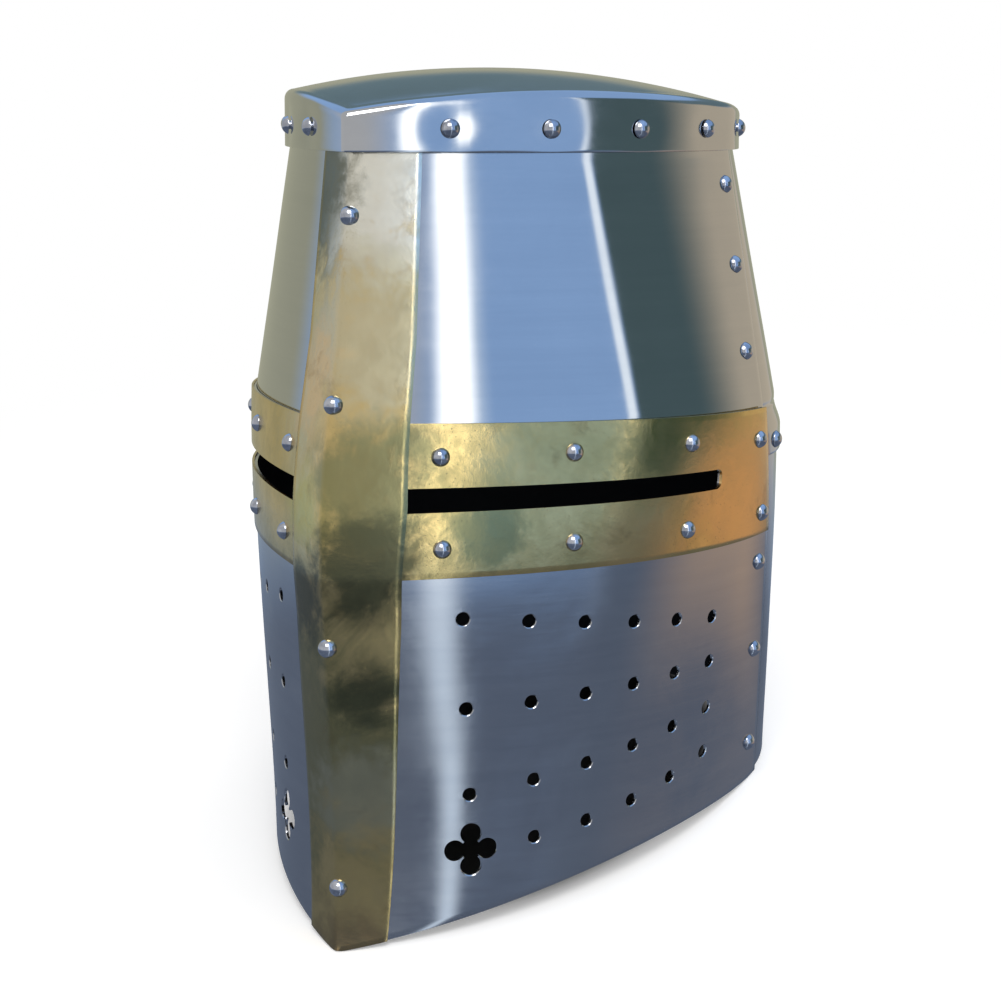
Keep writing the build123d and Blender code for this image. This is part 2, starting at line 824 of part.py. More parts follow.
with BuildPart() as brow_lower_rivets:
    for plane in both_sides(brow_lower_seats):
        rivet(plane, depth_under(plane, lower_skin, steel))
    for plane in both_sides([brow_seam_seat]):
        rivet(plane, depth_under(plane, rear_lower_skin, steel))
brow_lower_rivets.part.label = "brow_lower_rivets"
export_step(brow_lower_rivets.part, "parts/brow_lower_rivets.step")

with BuildPart() as rear_brow_rivets:
    for plane in [*both_sides(rear_seats), rear_back_seat]:
        rivet(plane, depth_under(plane, liner_skin, leather) + washer_room)
rear_brow_rivets.part.label = "rear_brow_rivets"
export_step(rear_brow_rivets.part, "parts/rear_brow_rivets.step")

with BuildPart() as keel_rivets:
    keel_rivet(strip_skin, keel_rivet_crown_height, upper_skin, steel)
    keel_rivet(strip_skin, keel_rivet_brow_height, upper_skin, steel)
    keel_rivet(strip_skin, keel_rivet_cheek_height, lower_skin, steel)
    keel_rivet(strip_skin, keel_rivet_bottom_height, lower_skin, steel)
keel_rivets.part.label = "keel_rivets"
export_step(keel_rivets.part, "parts/keel_rivets.step")

# Washers that hold the leather band under the rivets' ends
liner_seats = [*both_sides(brow_upper_seats + rear_seats), rear_back_seat]
with BuildPart() as liner_washers:
    for plane in liner_seats:
        depth = depth_under(plane, liner_skin, leather) + washer_gap
        inner = shank_radius + hole_gap
        turned(
            plane,
            (inner, -depth),
            (washer_radius, -depth),
            (washer_radius, -depth - washer_thickness),
            (inner, -depth - washer_thickness),
        )
liner_washers.part.label = "liner_washers"
export_step(liner_washers.part, "parts/liner_washers.step")

# Leather band under the brow
with BuildPart() as liner_band:
    band_heights = [liner_rear_bottom, brow_upper_rivet_height, brow_bend_height, liner_top_height]
    band_rings = [liner_skin(height) for height in band_heights]
    loft([ring.bridged_outline() for ring in band_rings], ruled=True)
    loft([ring.inset(leather).bridged_outline() for ring in band_rings], ruled=True, mode=Mode.SUBTRACT)
    keep_side_view(
        (front_reach, above),
        (front_reach, liner_front_bottom),
        (-sight_rear_reach, liner_front_bottom),
        (seam_sight, liner_rear_bottom),
        (back_reach, liner_rear_bottom),
        (back_reach, above),
    )
    drill(liner_seats)
liner_band.part.label = "liner_band"
export_step(liner_band.part, "parts/liner_band.step")

# Leather tongues, cut from one domed shell and joined over the head
tongue_root = liner_skin(tongue_bottom_height).inset(leather + sheet_gap)
tongue_top = liner_skin(liner_top_height).inset(leather + sheet_gap)
tongue_middle = (tongue_top.keel - tongue_top.back) / 2
tongue_rings = [
    tongue_root,
    tongue_top,
    tongue_top.shrunk(tongue_shoulder_height, tongue_shoulder_share),
    tongue_top.shrunk(tongue_bend_height, tongue_bend_share),
    tongue_top.shrunk(tongue_slope_height, tongue_slope_share),
    tongue_top.shrunk(tongue_flat_height, tongue_flat_share),
    tongue_top.shrunk(tongue_crown_height, tongue_tip_share),
]
tongue_under_rings = [
    ring.inset(tongue_thickness).shrunk(ring.height - tongue_thickness, 1) for ring in tongue_rings
]
slot_start, slot_end = tongue_tip_radius / 2, tongue_top.keel + overrun
disc_bottom = tongue_crown_height + sheet_gap
disc_top = disc_bottom + leather
tongue_angles = [number * 360 / tongue_count for number in range(tongue_count)]
disc_seats = [
    Plane(
        (
            disc_rivet_circle_radius * cos(radians(angle)),
            disc_rivet_circle_radius * sin(radians(angle)) - tongue_middle,
            disc_top,
        )
    )
    for angle in tongue_angles
]
with BuildPart() as tongues:
    loft([ring.bridged_outline() for ring in tongue_rings], ruled=True)
    loft([ring.bridged_outline() for ring in tongue_under_rings], ruled=True, mode=Mode.SUBTRACT)
    with BuildSketch(Plane((0, -tongue_middle, tongue_bottom_height - overrun))) as gaps:
        Circle(tongue_tip_radius)
        with PolarLocations(0, tongue_count, start_angle=180 / tongue_count):
            Polygon(
                (slot_start, tongue_tip_gap / 2),
                (slot_start, -tongue_tip_gap / 2),
                (slot_end, -tongue_edge_gap / 2),
                (slot_end, tongue_edge_gap / 2),
                align=None,
            )
    extrude(gaps.sketch, amount=crown_height, mode=Mode.SUBTRACT)
    drill(disc_seats, disc_rivet_radius + hole_gap)


def angle_round(piece):
    """Turn from the wearer's left side to a tongue, round the middle of the crown."""
    middle = piece.center()
    return (degrees(atan2(middle.Y + tongue_middle, middle.X)) + 180 / tongue_count) % 360


for number, piece in enumerate(sorted(tongues.solids(), key=angle_round), 1):
    with BuildPart() as liner_tongue:
        add(piece)
    liner_tongue.part.label = f"liner_tongue_{number}"
    export_step(liner_tongue.part, f"parts/liner_tongue_{number}.step")

with BuildPart() as liner_crown_disc:
    with BuildSketch(Plane((0, -tongue_middle, disc_bottom))) as disc:
        Circle(disc_radius)
    extrude(disc.sketch, amount=leather)
    drill(disc_seats, disc_rivet_radius + hole_gap)
liner_crown_disc.part.label = "liner_crown_disc"
export_step(liner_crown_disc.part, "parts/liner_crown_disc.step")

disc_rivet_grip = disc_top - tongue_flat_height + tongue_thickness
with BuildPart() as liner_crown_rivets:
    for plane in disc_seats:
        domed_head(plane, disc_rivet_head_radius, disc_rivet_head_height)
        shank_and_tail(plane, disc_rivet_grip, disc_rivet_radius, disc_rivet_tail_radius)
liner_crown_rivets.part.label = "liner_crown_rivets"
export_step(liner_crown_rivets.part, "parts/liner_crown_rivets.step")
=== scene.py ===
"""Looks of a great helm: brushed steel plates, an aged brass cross, polished rivets and a leather lining.

Every place and size is in metres in the helm's own frame: +Z is up, the keel of the face points to -Y, and
+X is the wearer's left side. Sizes that are easier to read in millimetres are written as a number times MM.
"""

from __future__ import annotations

import functools
import json
import logging
import math
import sys
from dataclasses import dataclass, fields, replace
from enum import Enum
from typing import Callable, Sequence

import bpy
import numpy as np
from mathutils import Matrix, Vector, noise

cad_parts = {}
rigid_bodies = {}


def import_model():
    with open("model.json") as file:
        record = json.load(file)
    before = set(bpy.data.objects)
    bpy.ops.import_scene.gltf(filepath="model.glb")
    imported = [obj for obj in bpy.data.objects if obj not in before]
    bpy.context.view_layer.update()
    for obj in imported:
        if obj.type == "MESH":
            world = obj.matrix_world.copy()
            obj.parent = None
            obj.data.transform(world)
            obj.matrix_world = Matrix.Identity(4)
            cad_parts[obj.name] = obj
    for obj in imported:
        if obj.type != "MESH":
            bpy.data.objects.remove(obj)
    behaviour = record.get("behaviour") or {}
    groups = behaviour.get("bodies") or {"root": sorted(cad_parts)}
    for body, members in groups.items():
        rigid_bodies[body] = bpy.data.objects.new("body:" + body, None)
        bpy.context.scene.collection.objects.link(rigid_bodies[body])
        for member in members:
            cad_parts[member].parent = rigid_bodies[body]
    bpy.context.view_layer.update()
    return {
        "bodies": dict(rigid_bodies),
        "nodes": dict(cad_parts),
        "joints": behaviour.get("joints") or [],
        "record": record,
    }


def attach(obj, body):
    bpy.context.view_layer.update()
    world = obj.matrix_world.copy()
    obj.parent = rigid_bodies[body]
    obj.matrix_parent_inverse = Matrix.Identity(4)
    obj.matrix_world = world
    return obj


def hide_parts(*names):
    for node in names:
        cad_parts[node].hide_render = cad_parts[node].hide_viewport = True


MM = 0.001
BODY = "root"
LOG = logging.getLogger("great_helm")

Piece = bpy.types.Object
Material = bpy.types.Material
Tree = bpy.types.NodeTree
Node = bpy.types.Node
Socket = bpy.types.NodeSocket
Point = tuple[float, float, float]
Colour = tuple[float, float, float, float]
Range = tuple[float, float]
Inputs = dict[str | int, object]


class Modifier(Enum):
    """Modifiers that finish a piece, by the name that the modifier list gives them."""

    SOLIDIFY = "SOLIDIFY"
    BEVEL = "BEVEL"
    BOOLEAN = "BOOLEAN"


class Slot(Enum):
    """Material slots of the record."""

    STEEL = "steel_plate"
    BRASS = "brass_cross"
    RIVET = "steel_rivet"
    LEATHER = "liner_leather"


class Part(Enum):
    """Which way round the helm a sheet lies."""

    FRONT = "front"
    BACK = "back"


# Modelling by hand: selecting, editing and finishing


def deselect_all() -> None:
    """Leave edit mode and deselect everything."""
    if bpy.context.mode != "OBJECT":
        bpy.ops.object.mode_set(mode="OBJECT")
    bpy.ops.object.select_all(action="DESELECT")


def pick(piece: Piece) -> None:
    """Select one piece alone and make it the active one."""
    deselect_all()
    piece.select_set(True)
    bpy.context.view_layer.objects.active = piece


def edit_whole(piece: Piece) -> None:
    """Enter edit mode on a piece with all of its mesh selected."""
    pick(piece)
    bpy.ops.object.mode_set(mode="EDIT")
    bpy.ops.mesh.select_all(action="SELECT")


def finish_with(piece: Piece, kind: Modifier, **settings: object) -> None:
    """Add a modifier to a piece and apply it.

    Args:
        piece: The piece to finish.
        kind: Which modifier.
        settings: Its properties by name.
    """
    pick(piece)
    modifier = piece.modifiers.new(kind.name.lower(), kind.value)
    for name, value in settings.items():
        setattr(modifier, name, value)
    bpy.ops.object.modifier_apply(modifier=modifier.name)


def smooth(piece: Piece, angle: float = 35) -> None:
    """Shade a piece smooth, with edges sharper than this many degrees left crisp."""
    pick(piece)
    bpy.ops.object.shade_smooth_by_angle(angle=math.radians(angle))


def merge(piece: Piece, distance: float = 0.002 * MM) -> None:
    """Merge the points of a piece that lie within this distance."""
    edit_whole(piece)
    bpy.ops.mesh.remove_doubles(threshold=distance)
    bpy.ops.object.mode_set(mode="OBJECT")


def face_outwards(piece: Piece) -> None:
    """Turn all the faces of a closed piece outwards."""
    edit_whole(piece)
    bpy.ops.mesh.normals_make_consistent(inside=False)
    bpy.ops.object.mode_set(mode="OBJECT")


def join(pieces: Sequence[Piece], name: str) -> Piece:
    """Join pieces into the first of them, give it this name and return it."""
    deselect_all()
    for piece in pieces:
        piece.select_set(True)
    bpy.context.view_layer.objects.active = pieces[0]
    if len(pieces) > 1:
        bpy.ops.object.join()
    pieces[0].name = name
    return pieces[0]


def new_piece(name: str, data: bpy.types.ID) -> Piece:
    """Put a new object with this mesh, lamp or camera into the scene."""
    piece = bpy.data.objects.new(name, data)
    bpy.context.scene.collection.objects.link(piece)
    return piece


def copy_of(piece: Piece, place: Matrix) -> Piece:
    """Copy a piece to a place, with a mesh of its own that holds the place and its object at the origin."""
    twin = new_piece(piece.name, piece.data.copy())
    twin.data.transform(place)
    return twin


def remove(piece: Piece) -> None:
    """Delete a piece that was only needed to make others."""
    bpy.data.objects.remove(piece)


def cut_out(piece: Piece, cutter: Piece) -> None:
    """Cut a cutter's shape out of a piece and delete the cutter."""
    finish_with(piece, Modifier.BOOLEAN, operation="DIFFERENCE", solver="EXACT", object=cutter)
    remove(cutter)
    if not piece.data.polygons:
        raise ValueError(f"{piece.name}: nothing is left after the cut")


def dress(piece: Piece, finish: Material) -> None:
    """Give a piece this finish and no other."""
    piece.data.materials.clear()
    piece.data.materials.append(finish)


def settle(piece: Piece, node: str, finish: Material) -> None:
    """Dress a finished piece, and let it ride on the helm and stand for its node.

    Args:
        piece: The piece.
        node: The node of the frame that it stands for.
        finish: Its material.
    """
    dress(piece, finish)
    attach(piece, BODY)
    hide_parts(node)
    LOG.info("%s: %d faces", piece.name, len(piece.data.polygons))


# Form of the helm


@dataclass(frozen=True)
class Outline:
    """Level outline of a sheet: two cheeks that meet at the keel, and a round back.

    Keel and shoulder, where the cheeks' curves are drawn to, are measured forwards from the origin, and the
    widest place of the side and the back are measured backwards from it.
    """

    keel: float
    half_breadth: float
    shoulder: float
    side: float
    back: float

    def inset(self, depth: float) -> Outline:
        """The outline that lies this far inside."""
        run = self.keel - self.shoulder
        leg = math.hypot(self.half_breadth, run)
        return Outline(
            self.keel - depth * leg / self.half_breadth,
            self.half_breadth - depth,
            self.shoulder - depth * (leg - run) / self.half_breadth,
            self.side,
            self.back - depth,
        )

    @classmethod
    def combined(cls, parts: Sequence[tuple[float, Outline]]) -> Outline:
        """The sum of outlines, each times its share."""
        names = [field.name for field in fields(cls)]
        return cls(*[sum(share * getattr(ring, name) for share, ring in parts) for name in names])

    def blended(self, other: Outline, share: float) -> Outline:
        """The outline this share of the way to another one."""
        return self.combined([(1 - share, self), (share, other)])

    def half(self, fold: float, count: int = 240) -> np.ndarray:
        """Points of the left half from the keel to the middle of the back.

        Args:
            fold: Half the width of the rounded fold at the keel.
            count: How many points each of the cheek and the back has.

        Returns:
            Points as rows of x and y.
        """
        share = np.linspace(0, 1, count) ** 1.6
        x = (1 - (1 - share) ** 2) * self.half_breadth
        y = -self.keel * (1 - share) ** 2 - 2 * share * (1 - share) * self.shoulder + share**2 * self.side
        if fold:
            slope = (self.keel - self.shoulder) / self.half_breadth
            rounded = slope * (x**2 / (2 * fold) + fold / 2) - self.keel
            y = np.where(x < fold, rounded, y)
        angle = np.linspace(0, math.pi / 2, count)[1:]
        back_x = self.half_breadth * np.cos(angle)
        back_y = self.side + (self.back - self.side) * np.sin(angle)
        return np.column_stack([np.concatenate([x, back_x]), np.concatenate([y, back_y])])


Skin = Callable[[float], Outline]
Line = Callable[[np.ndarray], np.ndarray]
End = Callable[[float, np.ndarray, np.ndarray], float]


def run_of(points: np.ndarray) -> np.ndarray:
    """How far along a line each of its points lies."""
    return np.concatenate([[0.0], np.cumsum(np.linalg.norm(np.diff(points, axis=0), axis=1))])


def along_line(points: np.ndarray, lengths: np.ndarray, distance: float | np.ndarray) -> list:
    """The x and y of places on a line, this far along it."""
    return [np.interp(distance, lengths, points[:, axis]) for axis in (0, 1)]


def eased(share: float) -> float:
    """A share from 0 to 1 that starts and ends gently."""
    share = min(max(share, 0.0), 1.0)
    return share * share * (3 - 2 * share)


@dataclass
class HelmForm:
    """Outlines of all the sheets at every height, and the lines that they are cut to."""

    steel: float = 1.2 * MM
    brass: float = 1.0 * MM
    gap: float = 0.1 * MM
    fold: float = 1.1 * MM
    height: float = 331.5 * MM
    flange_edge: float = 300 * MM
    plate_top: float = 313 * MM
    upper_foot: float = 183 * MM
    brow_bend: float = 202 * MM
    rear_flare: float = 199 * MM
    rear_lap_top: float = 188.5 * MM
    rear_foot: float = 179 * MM
    brow_lap: float = 182 * MM
    stations: tuple[tuple[float, Outline], ...] = (
        (204 * MM, Outline(137 * MM, 112.8 * MM, 61 * MM, 7 * MM, 103 * MM)),
        (140 * MM, Outline(142.9 * MM, 109.6 * MM, 70 * MM, 18 * MM, 111 * MM)),
        (70 * MM, Outline(137.6 * MM, 102.6 * MM, 81 * MM, 34 * MM, 120.5 * MM)),
        (0.0, Outline(137 * MM, 96.3 * MM, 92 * MM, 52 * MM, 127.5 * MM)),
    )
    crown: Outline = Outline(121.8 * MM, 90.6 * MM, 63.2 * MM, 6.8 * MM, 91 * MM)
    band_front: Range = (145 * MM, 203.2 * MM)
    band_rear: Range = (147.5 * MM, 200 * MM)
    strip_leave: float = 232 * MM
    strip_land: float = 128 * MM
    seam_lap: float = 9.5 * MM
    corner_gap: float = 0.8 * MM
    band_lap: float = 7.5 * MM
    band_edge_gap: float = 0.4 * MM
    seam_knots: tuple[Range, ...] = (
        (0.0, 41 * MM),
        (140 * MM, 12 * MM),
        (202 * MM, -4 * MM),
        (300 * MM, 6.5 * MM),
    )
    edge_cheek: Range = (-60 * MM, 36 * MM)
    edge_rear: Range = (40 * MM, 35.8 * MM)
    edge_level_run: float = 25 * MM
    edge_slope: float = 0.2

    def lower(self, z: float) -> Outline:
        """Outer face of the lower front plate."""
        parts = []
        for height, ring in self.stations:
            share = math.prod((z - far) / (height - far) for far, _ in self.stations if far != height)
            parts.append((share, ring))
        return Outline.combined(parts)

    def band(self, z: float) -> Outline:
        """Outer face of the brow band."""
        return self.lower(z).inset(-self.gap - self.brass)

    def rear_lower(self, z: float) -> Outline:
        """Outer face of the lower back plate."""
        return self.lower(z).inset(self.steel + self.gap)

    def upper(self, z: float) -> Outline:
        """Outer face of the upper front plate."""
        if z < self.brow_bend:
            return self.rear_lower(z)
        if z > self.flange_edge:
            return self.crown
        foot = self.rear_lower(self.brow_bend)
        return foot.blended(self.crown, (z - self.brow_bend) / (self.flange_edge - self.brow_bend))

    def rear_upper(self, z: float) -> Outline:
        """Outer face of the upper back plate, which flares out over the lower one."""
        inner = self.upper(z).inset(self.steel + self.gap)
        share = (self.rear_flare - z) / (self.rear_flare - self.rear_lap_top)
        return inner.blended(self.lower(z), eased(share))

    def strip(self, z: float) -> Outline:
        """Outer face of the keel strip."""
        proud = -self.gap - self.brass
        low, high = self.band_front
        on_band = self.band(min(max(z, low), high)).inset(proud)
        if z > high:
            share = (z - high) / (self.strip_leave - high)
            return on_band.blended(self.upper(max(z, self.strip_leave)).inset(proud), min(share, 1.0))
        if z < low:
            share = (low - z) / (low - self.strip_land)
            return on_band.blended(self.lower(min(z, self.strip_land)).inset(proud), min(share, 1.0))
        return on_band

    def seam(self, z: float) -> float:
        """How far behind the origin the side seam's rivets lie."""
        heights, places = zip(*self.seam_knots)
        return float(np.interp(z, heights, places))

    def rear_start(self, z: float, clear: bool) -> float:
        """Where a back plate starts: tucked under the front one, or clear of its corner."""
        return self.seam(z) + (self.seam_lap + self.corner_gap if clear else -self.seam_lap)

    def bottom(self, y: np.ndarray) -> np.ndarray:
        """Height of the bottom edge at these distances behind the origin."""
        share = np.linspace(0, 1, 80)
        rear_y, rear_z = self.edge_rear
        level_y, level_z = rear_y - self.edge_level_run, rear_z - self.edge_level_run * self.edge_slope
        knots = [(-self.stations[-1][1].keel, 0.0), self.edge_cheek, (level_y, level_z), self.edge_rear]
        parts = [(1 - share) ** 3, 3 * share * (1 - share) ** 2, 3 * share**2 * (1 - share), share**3]
        line_y = sum(part * knot[0] for part, knot in zip(parts, knots))
        line_z = sum(part * knot[1] for part, knot in zip(parts, knots))
        return np.where(y > rear_y, rear_z + (y - rear_y) * self.edge_slope, np.interp(y, line_y, line_z))

    def band_line(self, top: bool, y: np.ndarray, offset: float = 0.0) -> np.ndarray:
        """Height of the brow band's top or bottom edge at these distances behind the origin."""
        side = int(top)
        front, rear = self.band_front[side], self.band_rear[side]
        start, end = -self.band(front).keel, self.seam(rear) + self.band_lap
        return front + (y - start) / (end - start) * (rear - front) + offset


def hand_work(points: np.ndarray, depth: float = 0.22 * MM, grain: float = 21.0) -> np.ndarray:
    """How far inwards hammer and rollers left each point of a sheet.

    Args:
        points: Places as rows of x, y and z.
        depth: The most that a point is pushed in.
        grain: Hollows per metre.

    Returns:
        One depth for each point.
    """
    values = [noise.noise(Vector(point) * grain) for point in points]
    return depth * (0.5 + 0.5 * np.array(values))


def hollowed(points: np.ndarray, normals: np.ndarray) -> np.ndarray:
    """Push a grid of points in along their normals as far as the hand work goes."""
    depth = hand_work(points.reshape(-1, 3)).reshape(points.shape[:2])
    return points - normals * depth[..., None]


def grid_normals(points: np.ndarray) -> np.ndarray:
    """Unit normals of a grid of points, which point out of the helm."""
    across = np.gradient(points, axis=1)
    up = np.gradient(points, axis=0)
    normals = np.cross(across, up)
    return normals / np.maximum(np.linalg.norm(normals, axis=2, keepdims=True), 1e-12)


def shaped_grid(name: str, points: np.ndarray) -> Piece:
    """Add a grid and lay its points on the form.

    Args:
        name: The piece's name.
        points: Places by row and column, seen from outside with the first row lowest.

    Returns:
        The open sheet.
    """
    rows, columns = points.shape[:2]
    deselect_all()
    bpy.ops.mesh.primitive_grid_add(x_subdivisions=columns - 1, y_subdivisions=rows - 1, size=1)
    piece = bpy.context.object
    piece.name = name
    if len(piece.data.vertices) != rows * columns:
        raise ValueError(f"{name}: the grid has {len(piece.data.vertices)} points")
    piece.data.vertices.foreach_set("co", points.reshape(-1).astype(np.float32))
    piece.data.update()
    return piece


def round_edges(piece: Piece, width: float, angle: float) -> None:
    """Round the edges of a piece that are sharper than this many degrees."""
    sharp = math.radians(angle)
    finish_with(piece, Modifier.BEVEL, width=width, segments=2, limit_method="ANGLE", angle_limit=sharp)


def thicken(piece: Piece, thickness: float, edge: float) -> None:
    """Give an open sheet its thickness inwards and round its edges.

    Args:
        piece: The open sheet, whose faces look out of the helm.
        thickness: Its thickness.
        edge: How wide the rounding of its edges is.
    """
    finish_with(piece, Modifier.SOLIDIFY, thickness=thickness, offset=-1, use_even_offset=True)
    round_edges(piece, edge, 60)


@dataclass
class SheetPlan:
    """How one sheet is cut: its skin, the lines that bound it and how finely it is modelled."""

    name: str
    skin: Skin
    part: Part
    thickness: float
    low: Line
    high: Line
    end: End
    heights: Range
    columns: int
    rows: int
    fold: float = 1.1 * MM
    fold_shares: tuple[float, ...] = (0.25, 0.5, 0.75, 1.0, 1.3)
    fold_part: float = 0.012
    edge: float = 0.22 * MM
    spare: float = 2 * MM
    rounds: int = 8

    def column_shares(self) -> np.ndarray:
        """Places of the columns round the sheet, from -1 on the right side to 1 on the left."""
        if self.part is Part.BACK:
            return np.linspace(-1, 1, 2 * self.columns - 1)
        near_fold = np.array(self.fold_shares) * self.fold_part
        rest = np.linspace(near_fold[-1], 1, self.columns)[1:]
        half = np.concatenate([near_fold, rest])
        return np.concatenate([-half[::-1], [0.0], half])

    def points(self) -> np.ndarray:
        """Places of the sheet's outer face by row and column."""
        shares = self.column_shares()
        low_end, high_end = self.heights
        table_heights = np.arange(low_end - self.spare, high_end + self.spare, MM)
        table = np.zeros((len(table_heights), len(shares), 2))
        for row, z in enumerate(table_heights):
            half = self.skin(z).half(self.fold)
            lengths = run_of(half)
            end = self.end(z, half, lengths)
            if self.part is Part.FRONT:
                along = np.abs(shares) * end
            else:
                along = lengths[-1] - np.abs(shares) * (lengths[-1] - end)
            x, y = along_line(half, lengths, along)
            table[row] = np.column_stack([x * np.sign(shares), y])
        rise = np.linspace(0, 1, self.rows)
        z = np.full((self.rows, len(shares)), (low_end + high_end) / 2)
        columns = np.arange(len(shares))[None, :].repeat(self.rows, 0)
        for _ in range(self.rounds):
            place = np.clip((z - table_heights[0]) / MM, 0, len(table_heights) - 1.001)
            below = place.astype(int)
            part = (place - below)[..., None]
            flat = table[below, columns] * (1 - part) + table[below + 1, columns] * part
            low, high = self.low(flat[..., 1]), self.high(flat[..., 1])
            z = low + (high - low) * rise[:, None]
        points = np.dstack([flat, z])
        if self.part is Part.BACK:
            points = points[:, ::-1]
        return points

    def build(self) -> Piece:
        """Model the sheet.

        Returns:
            The closed sheet, with rounded edges and its outer face on the skin.
        """
        points = self.points()
        piece = shaped_grid(f"{self.name}_sheet", hollowed(points, grid_normals(points)))
        thicken(piece, self.thickness, self.edge)
        return piece


def finish_sheet(piece: Piece, look: str, finish: Material) -> None:
    """Name a sheet after its node and its look, then shade, dress and settle it."""
    node = piece.name.removesuffix("_sheet")
    piece.name = f"{node}_{look}"
    smooth(piece)
    settle(piece, node, finish)


def end_behind(limit: Callable[[float], float]) -> End:
    """A rule that ends a sheet this far behind the origin at each height."""

    def end(z: float, half: np.ndarray, lengths: np.ndarray) -> float:
        return float(np.interp(limit(z), half[:, 1], lengths))

    return end


def end_beside(limit: Callable[[float], float]) -> End:
    """A rule that ends a sheet this far beside the middle plane at each height."""

    def end(z: float, half: np.ndarray, lengths: np.ndarray) -> float:
        cheek = half[: len(half) // 2]
        return float(np.interp(limit(z), cheek[:, 0], lengths[: len(cheek)]))

    return end


def placed(x_axis: Vector, y_axis: Vector, z_axis: Vector, origin: Vector) -> Matrix:
    """The place with these axes and this origin."""
    place = Matrix((x_axis, y_axis, z_axis)).transposed().to_4x4()
    place.translation = origin
    return place


def seat_on(skin: Skin, z: float, along: float, left: bool = True) -> Matrix:
    """Place on a skin, with Z out of the helm, X forwards round it and Y upwards.

    Args:
        skin: The skin.
        z: The height.
        along: How far round the skin from the keel.
        left: Whether it is on the wearer's left side.

    Returns:
        The place as a matrix.
    """

    def point(height: float, distance: float) -> Vector:
        half = skin(height).half(0)
        return Vector((*along_line(half, run_of(half), distance), height))

    reach = 1 * MM
    forward = (point(z, along + reach) - point(z, along - reach)).normalized()
    upward = (point(z + reach, along) - point(z - reach, along)).normalized()
    outward = forward.cross(upward).normalized()
    place = placed(forward, outward.cross(forward), outward, point(z, along))
    if left:
        return place
    return Matrix.Diagonal((-1, 1, 1, 1)) @ place @ Matrix.Diagonal((-1, 1, 1, 1))


# Finishes


class NodeShop:
    """Adds and links the nodes of one node tree."""

    def __init__(self, tree: Tree) -> None:
        """Start on a tree."""
        self.tree = tree

    def feed(self, node: Node, inputs: Inputs) -> Node:
        """Give a node's inputs, by name or number, their values or sockets and return the node."""
        for key, value in inputs.items():
            if isinstance(value, Socket):
                self.tree.links.new(value, node.inputs[key])
            else:
                node.inputs[key].default_value = value
        return node

    def add(self, kind: str, inputs: Inputs | None = None, **settings: object) -> Node:
        """Add a node.

        Args:
            kind: The node's type.
            inputs: Values or sockets for its inputs, by name or number.
            settings: Its properties by name.

        Returns:
            The node.
        """
        node = self.tree.nodes.new(kind)
        for name, value in settings.items():
            setattr(node, name, value)
        return self.feed(node, inputs or {})

    def math(self, operation: str, first: object, second: object = 0.0) -> Socket:
        """Add a sum on two values and return its result."""
        return self.add("ShaderNodeMath", {0: first, 1: second}, operation=operation).outputs[0]

    def total(self, *values: object) -> Socket:
        """Add values up and return the result."""
        return functools.reduce(functools.partial(self.math, "ADD"), values)

    def vector(self, operation: str, first: object, second: object = (0.0, 0.0, 0.0)) -> Socket:
        """Add a sum on two vectors and return its result, a value or a vector."""
        result = "Value" if operation in ("DISTANCE", "DOT_PRODUCT", "LENGTH") else "Vector"
        return self.add("ShaderNodeVectorMath", {0: first, 1: second}, operation=operation).outputs[result]

    def mix(self, factor: object, first: object, second: object) -> Socket:
        """Mix two colours and return the result."""
        return self.add("ShaderNodeMix", {0: factor, 6: first, 7: second}, data_type="RGBA").outputs[2]

    def spread(self, value: object, low: float, high: float) -> Socket:
        """Stretch a value from 0..1 to a range and return it."""
        return self.add("ShaderNodeMapRange", {0: value, 1: 0.0, 2: 1.0, 3: low, 4: high}).outputs[0]

    def fade(self, value: object, start: object, end: object, low: float = 0.0, high: float = 1.0) -> Socket:
        """Go softly from low to high while a value goes from start to end, and return the result."""
        inputs = {0: value, 1: start, 2: end, 3: low, 4: high}
        return self.add("ShaderNodeMapRange", inputs, interpolation_type="SMOOTHSTEP").outputs[0]


class Effect(NodeShop):
    """A shared effect in the making: a node group on Object coordinates and further values."""

    def __init__(self, name: str, **values: float) -> None:
        """Start the group, whose inputs are a vector and these values with their defaults."""
        super().__init__(bpy.data.node_groups.new(name, "ShaderNodeTree"))
        self.socket("Vector", "INPUT", "Vector")
        for label, default in values.items():
            self.socket(label, "INPUT").default_value = default
        self.given = self.add("NodeGroupInput").outputs

    def socket(self, label: str, way: str, kind: str = "Float") -> bpy.types.NodeTreeInterfaceSocket:
        """Add an input or an output to the group."""
        return self.tree.interface.new_socket(label, in_out=way, socket_type=f"NodeSocket{kind}")

    def noise(self, scale: object, detail: float, roughness: float, distortion: float = 0.0) -> Socket:
        """Noise on the group's vector, from 0 to 1."""
        inputs = {"Vector": self.given["Vector"], "Scale": scale, "Detail": detail, "Roughness": roughness}
        return self.add("ShaderNodeTexNoise", {**inputs, "Distortion": distortion}).outputs["Fac"]

    def end(self, **results: Socket) -> Tree:
        """Make the results the group's outputs and return it."""
        for label in results:
            self.socket(label, "OUTPUT")
        self.feed(self.add("NodeGroupOutput"), results)
        return self.tree


def brushed_lines(broad_part: float = 0.13) -> Tree:
    """Effect of fine polishing lines: long streaks broken up by short ones, and broad bands that are partly
    brushing and partly a painted sheen.
    """
    effect = Effect("brushed_lines", Fineness=1.0)
    fineness = effect.given["Fineness"]
    fine = effect.noise(fineness, 6.0, 0.7)
    broad = effect.noise(effect.math("MULTIPLY", fineness, broad_part), 3.0, 0.55)
    return effect.end(Lines=fine, Sheen=broad)


def cloudy_mottle() -> Tree:
    """Effect of tarnished or handled patches, with soft or hard borders."""
    effect = Effect("cloudy_mottle", Scale=20.0, Low=0.4, High=0.6)
    cloud = effect.noise(effect.given["Scale"], 7.0, 0.62, 0.4)
    return effect.end(Patches=effect.fade(cloud, effect.given["Low"], effect.given["High"]))


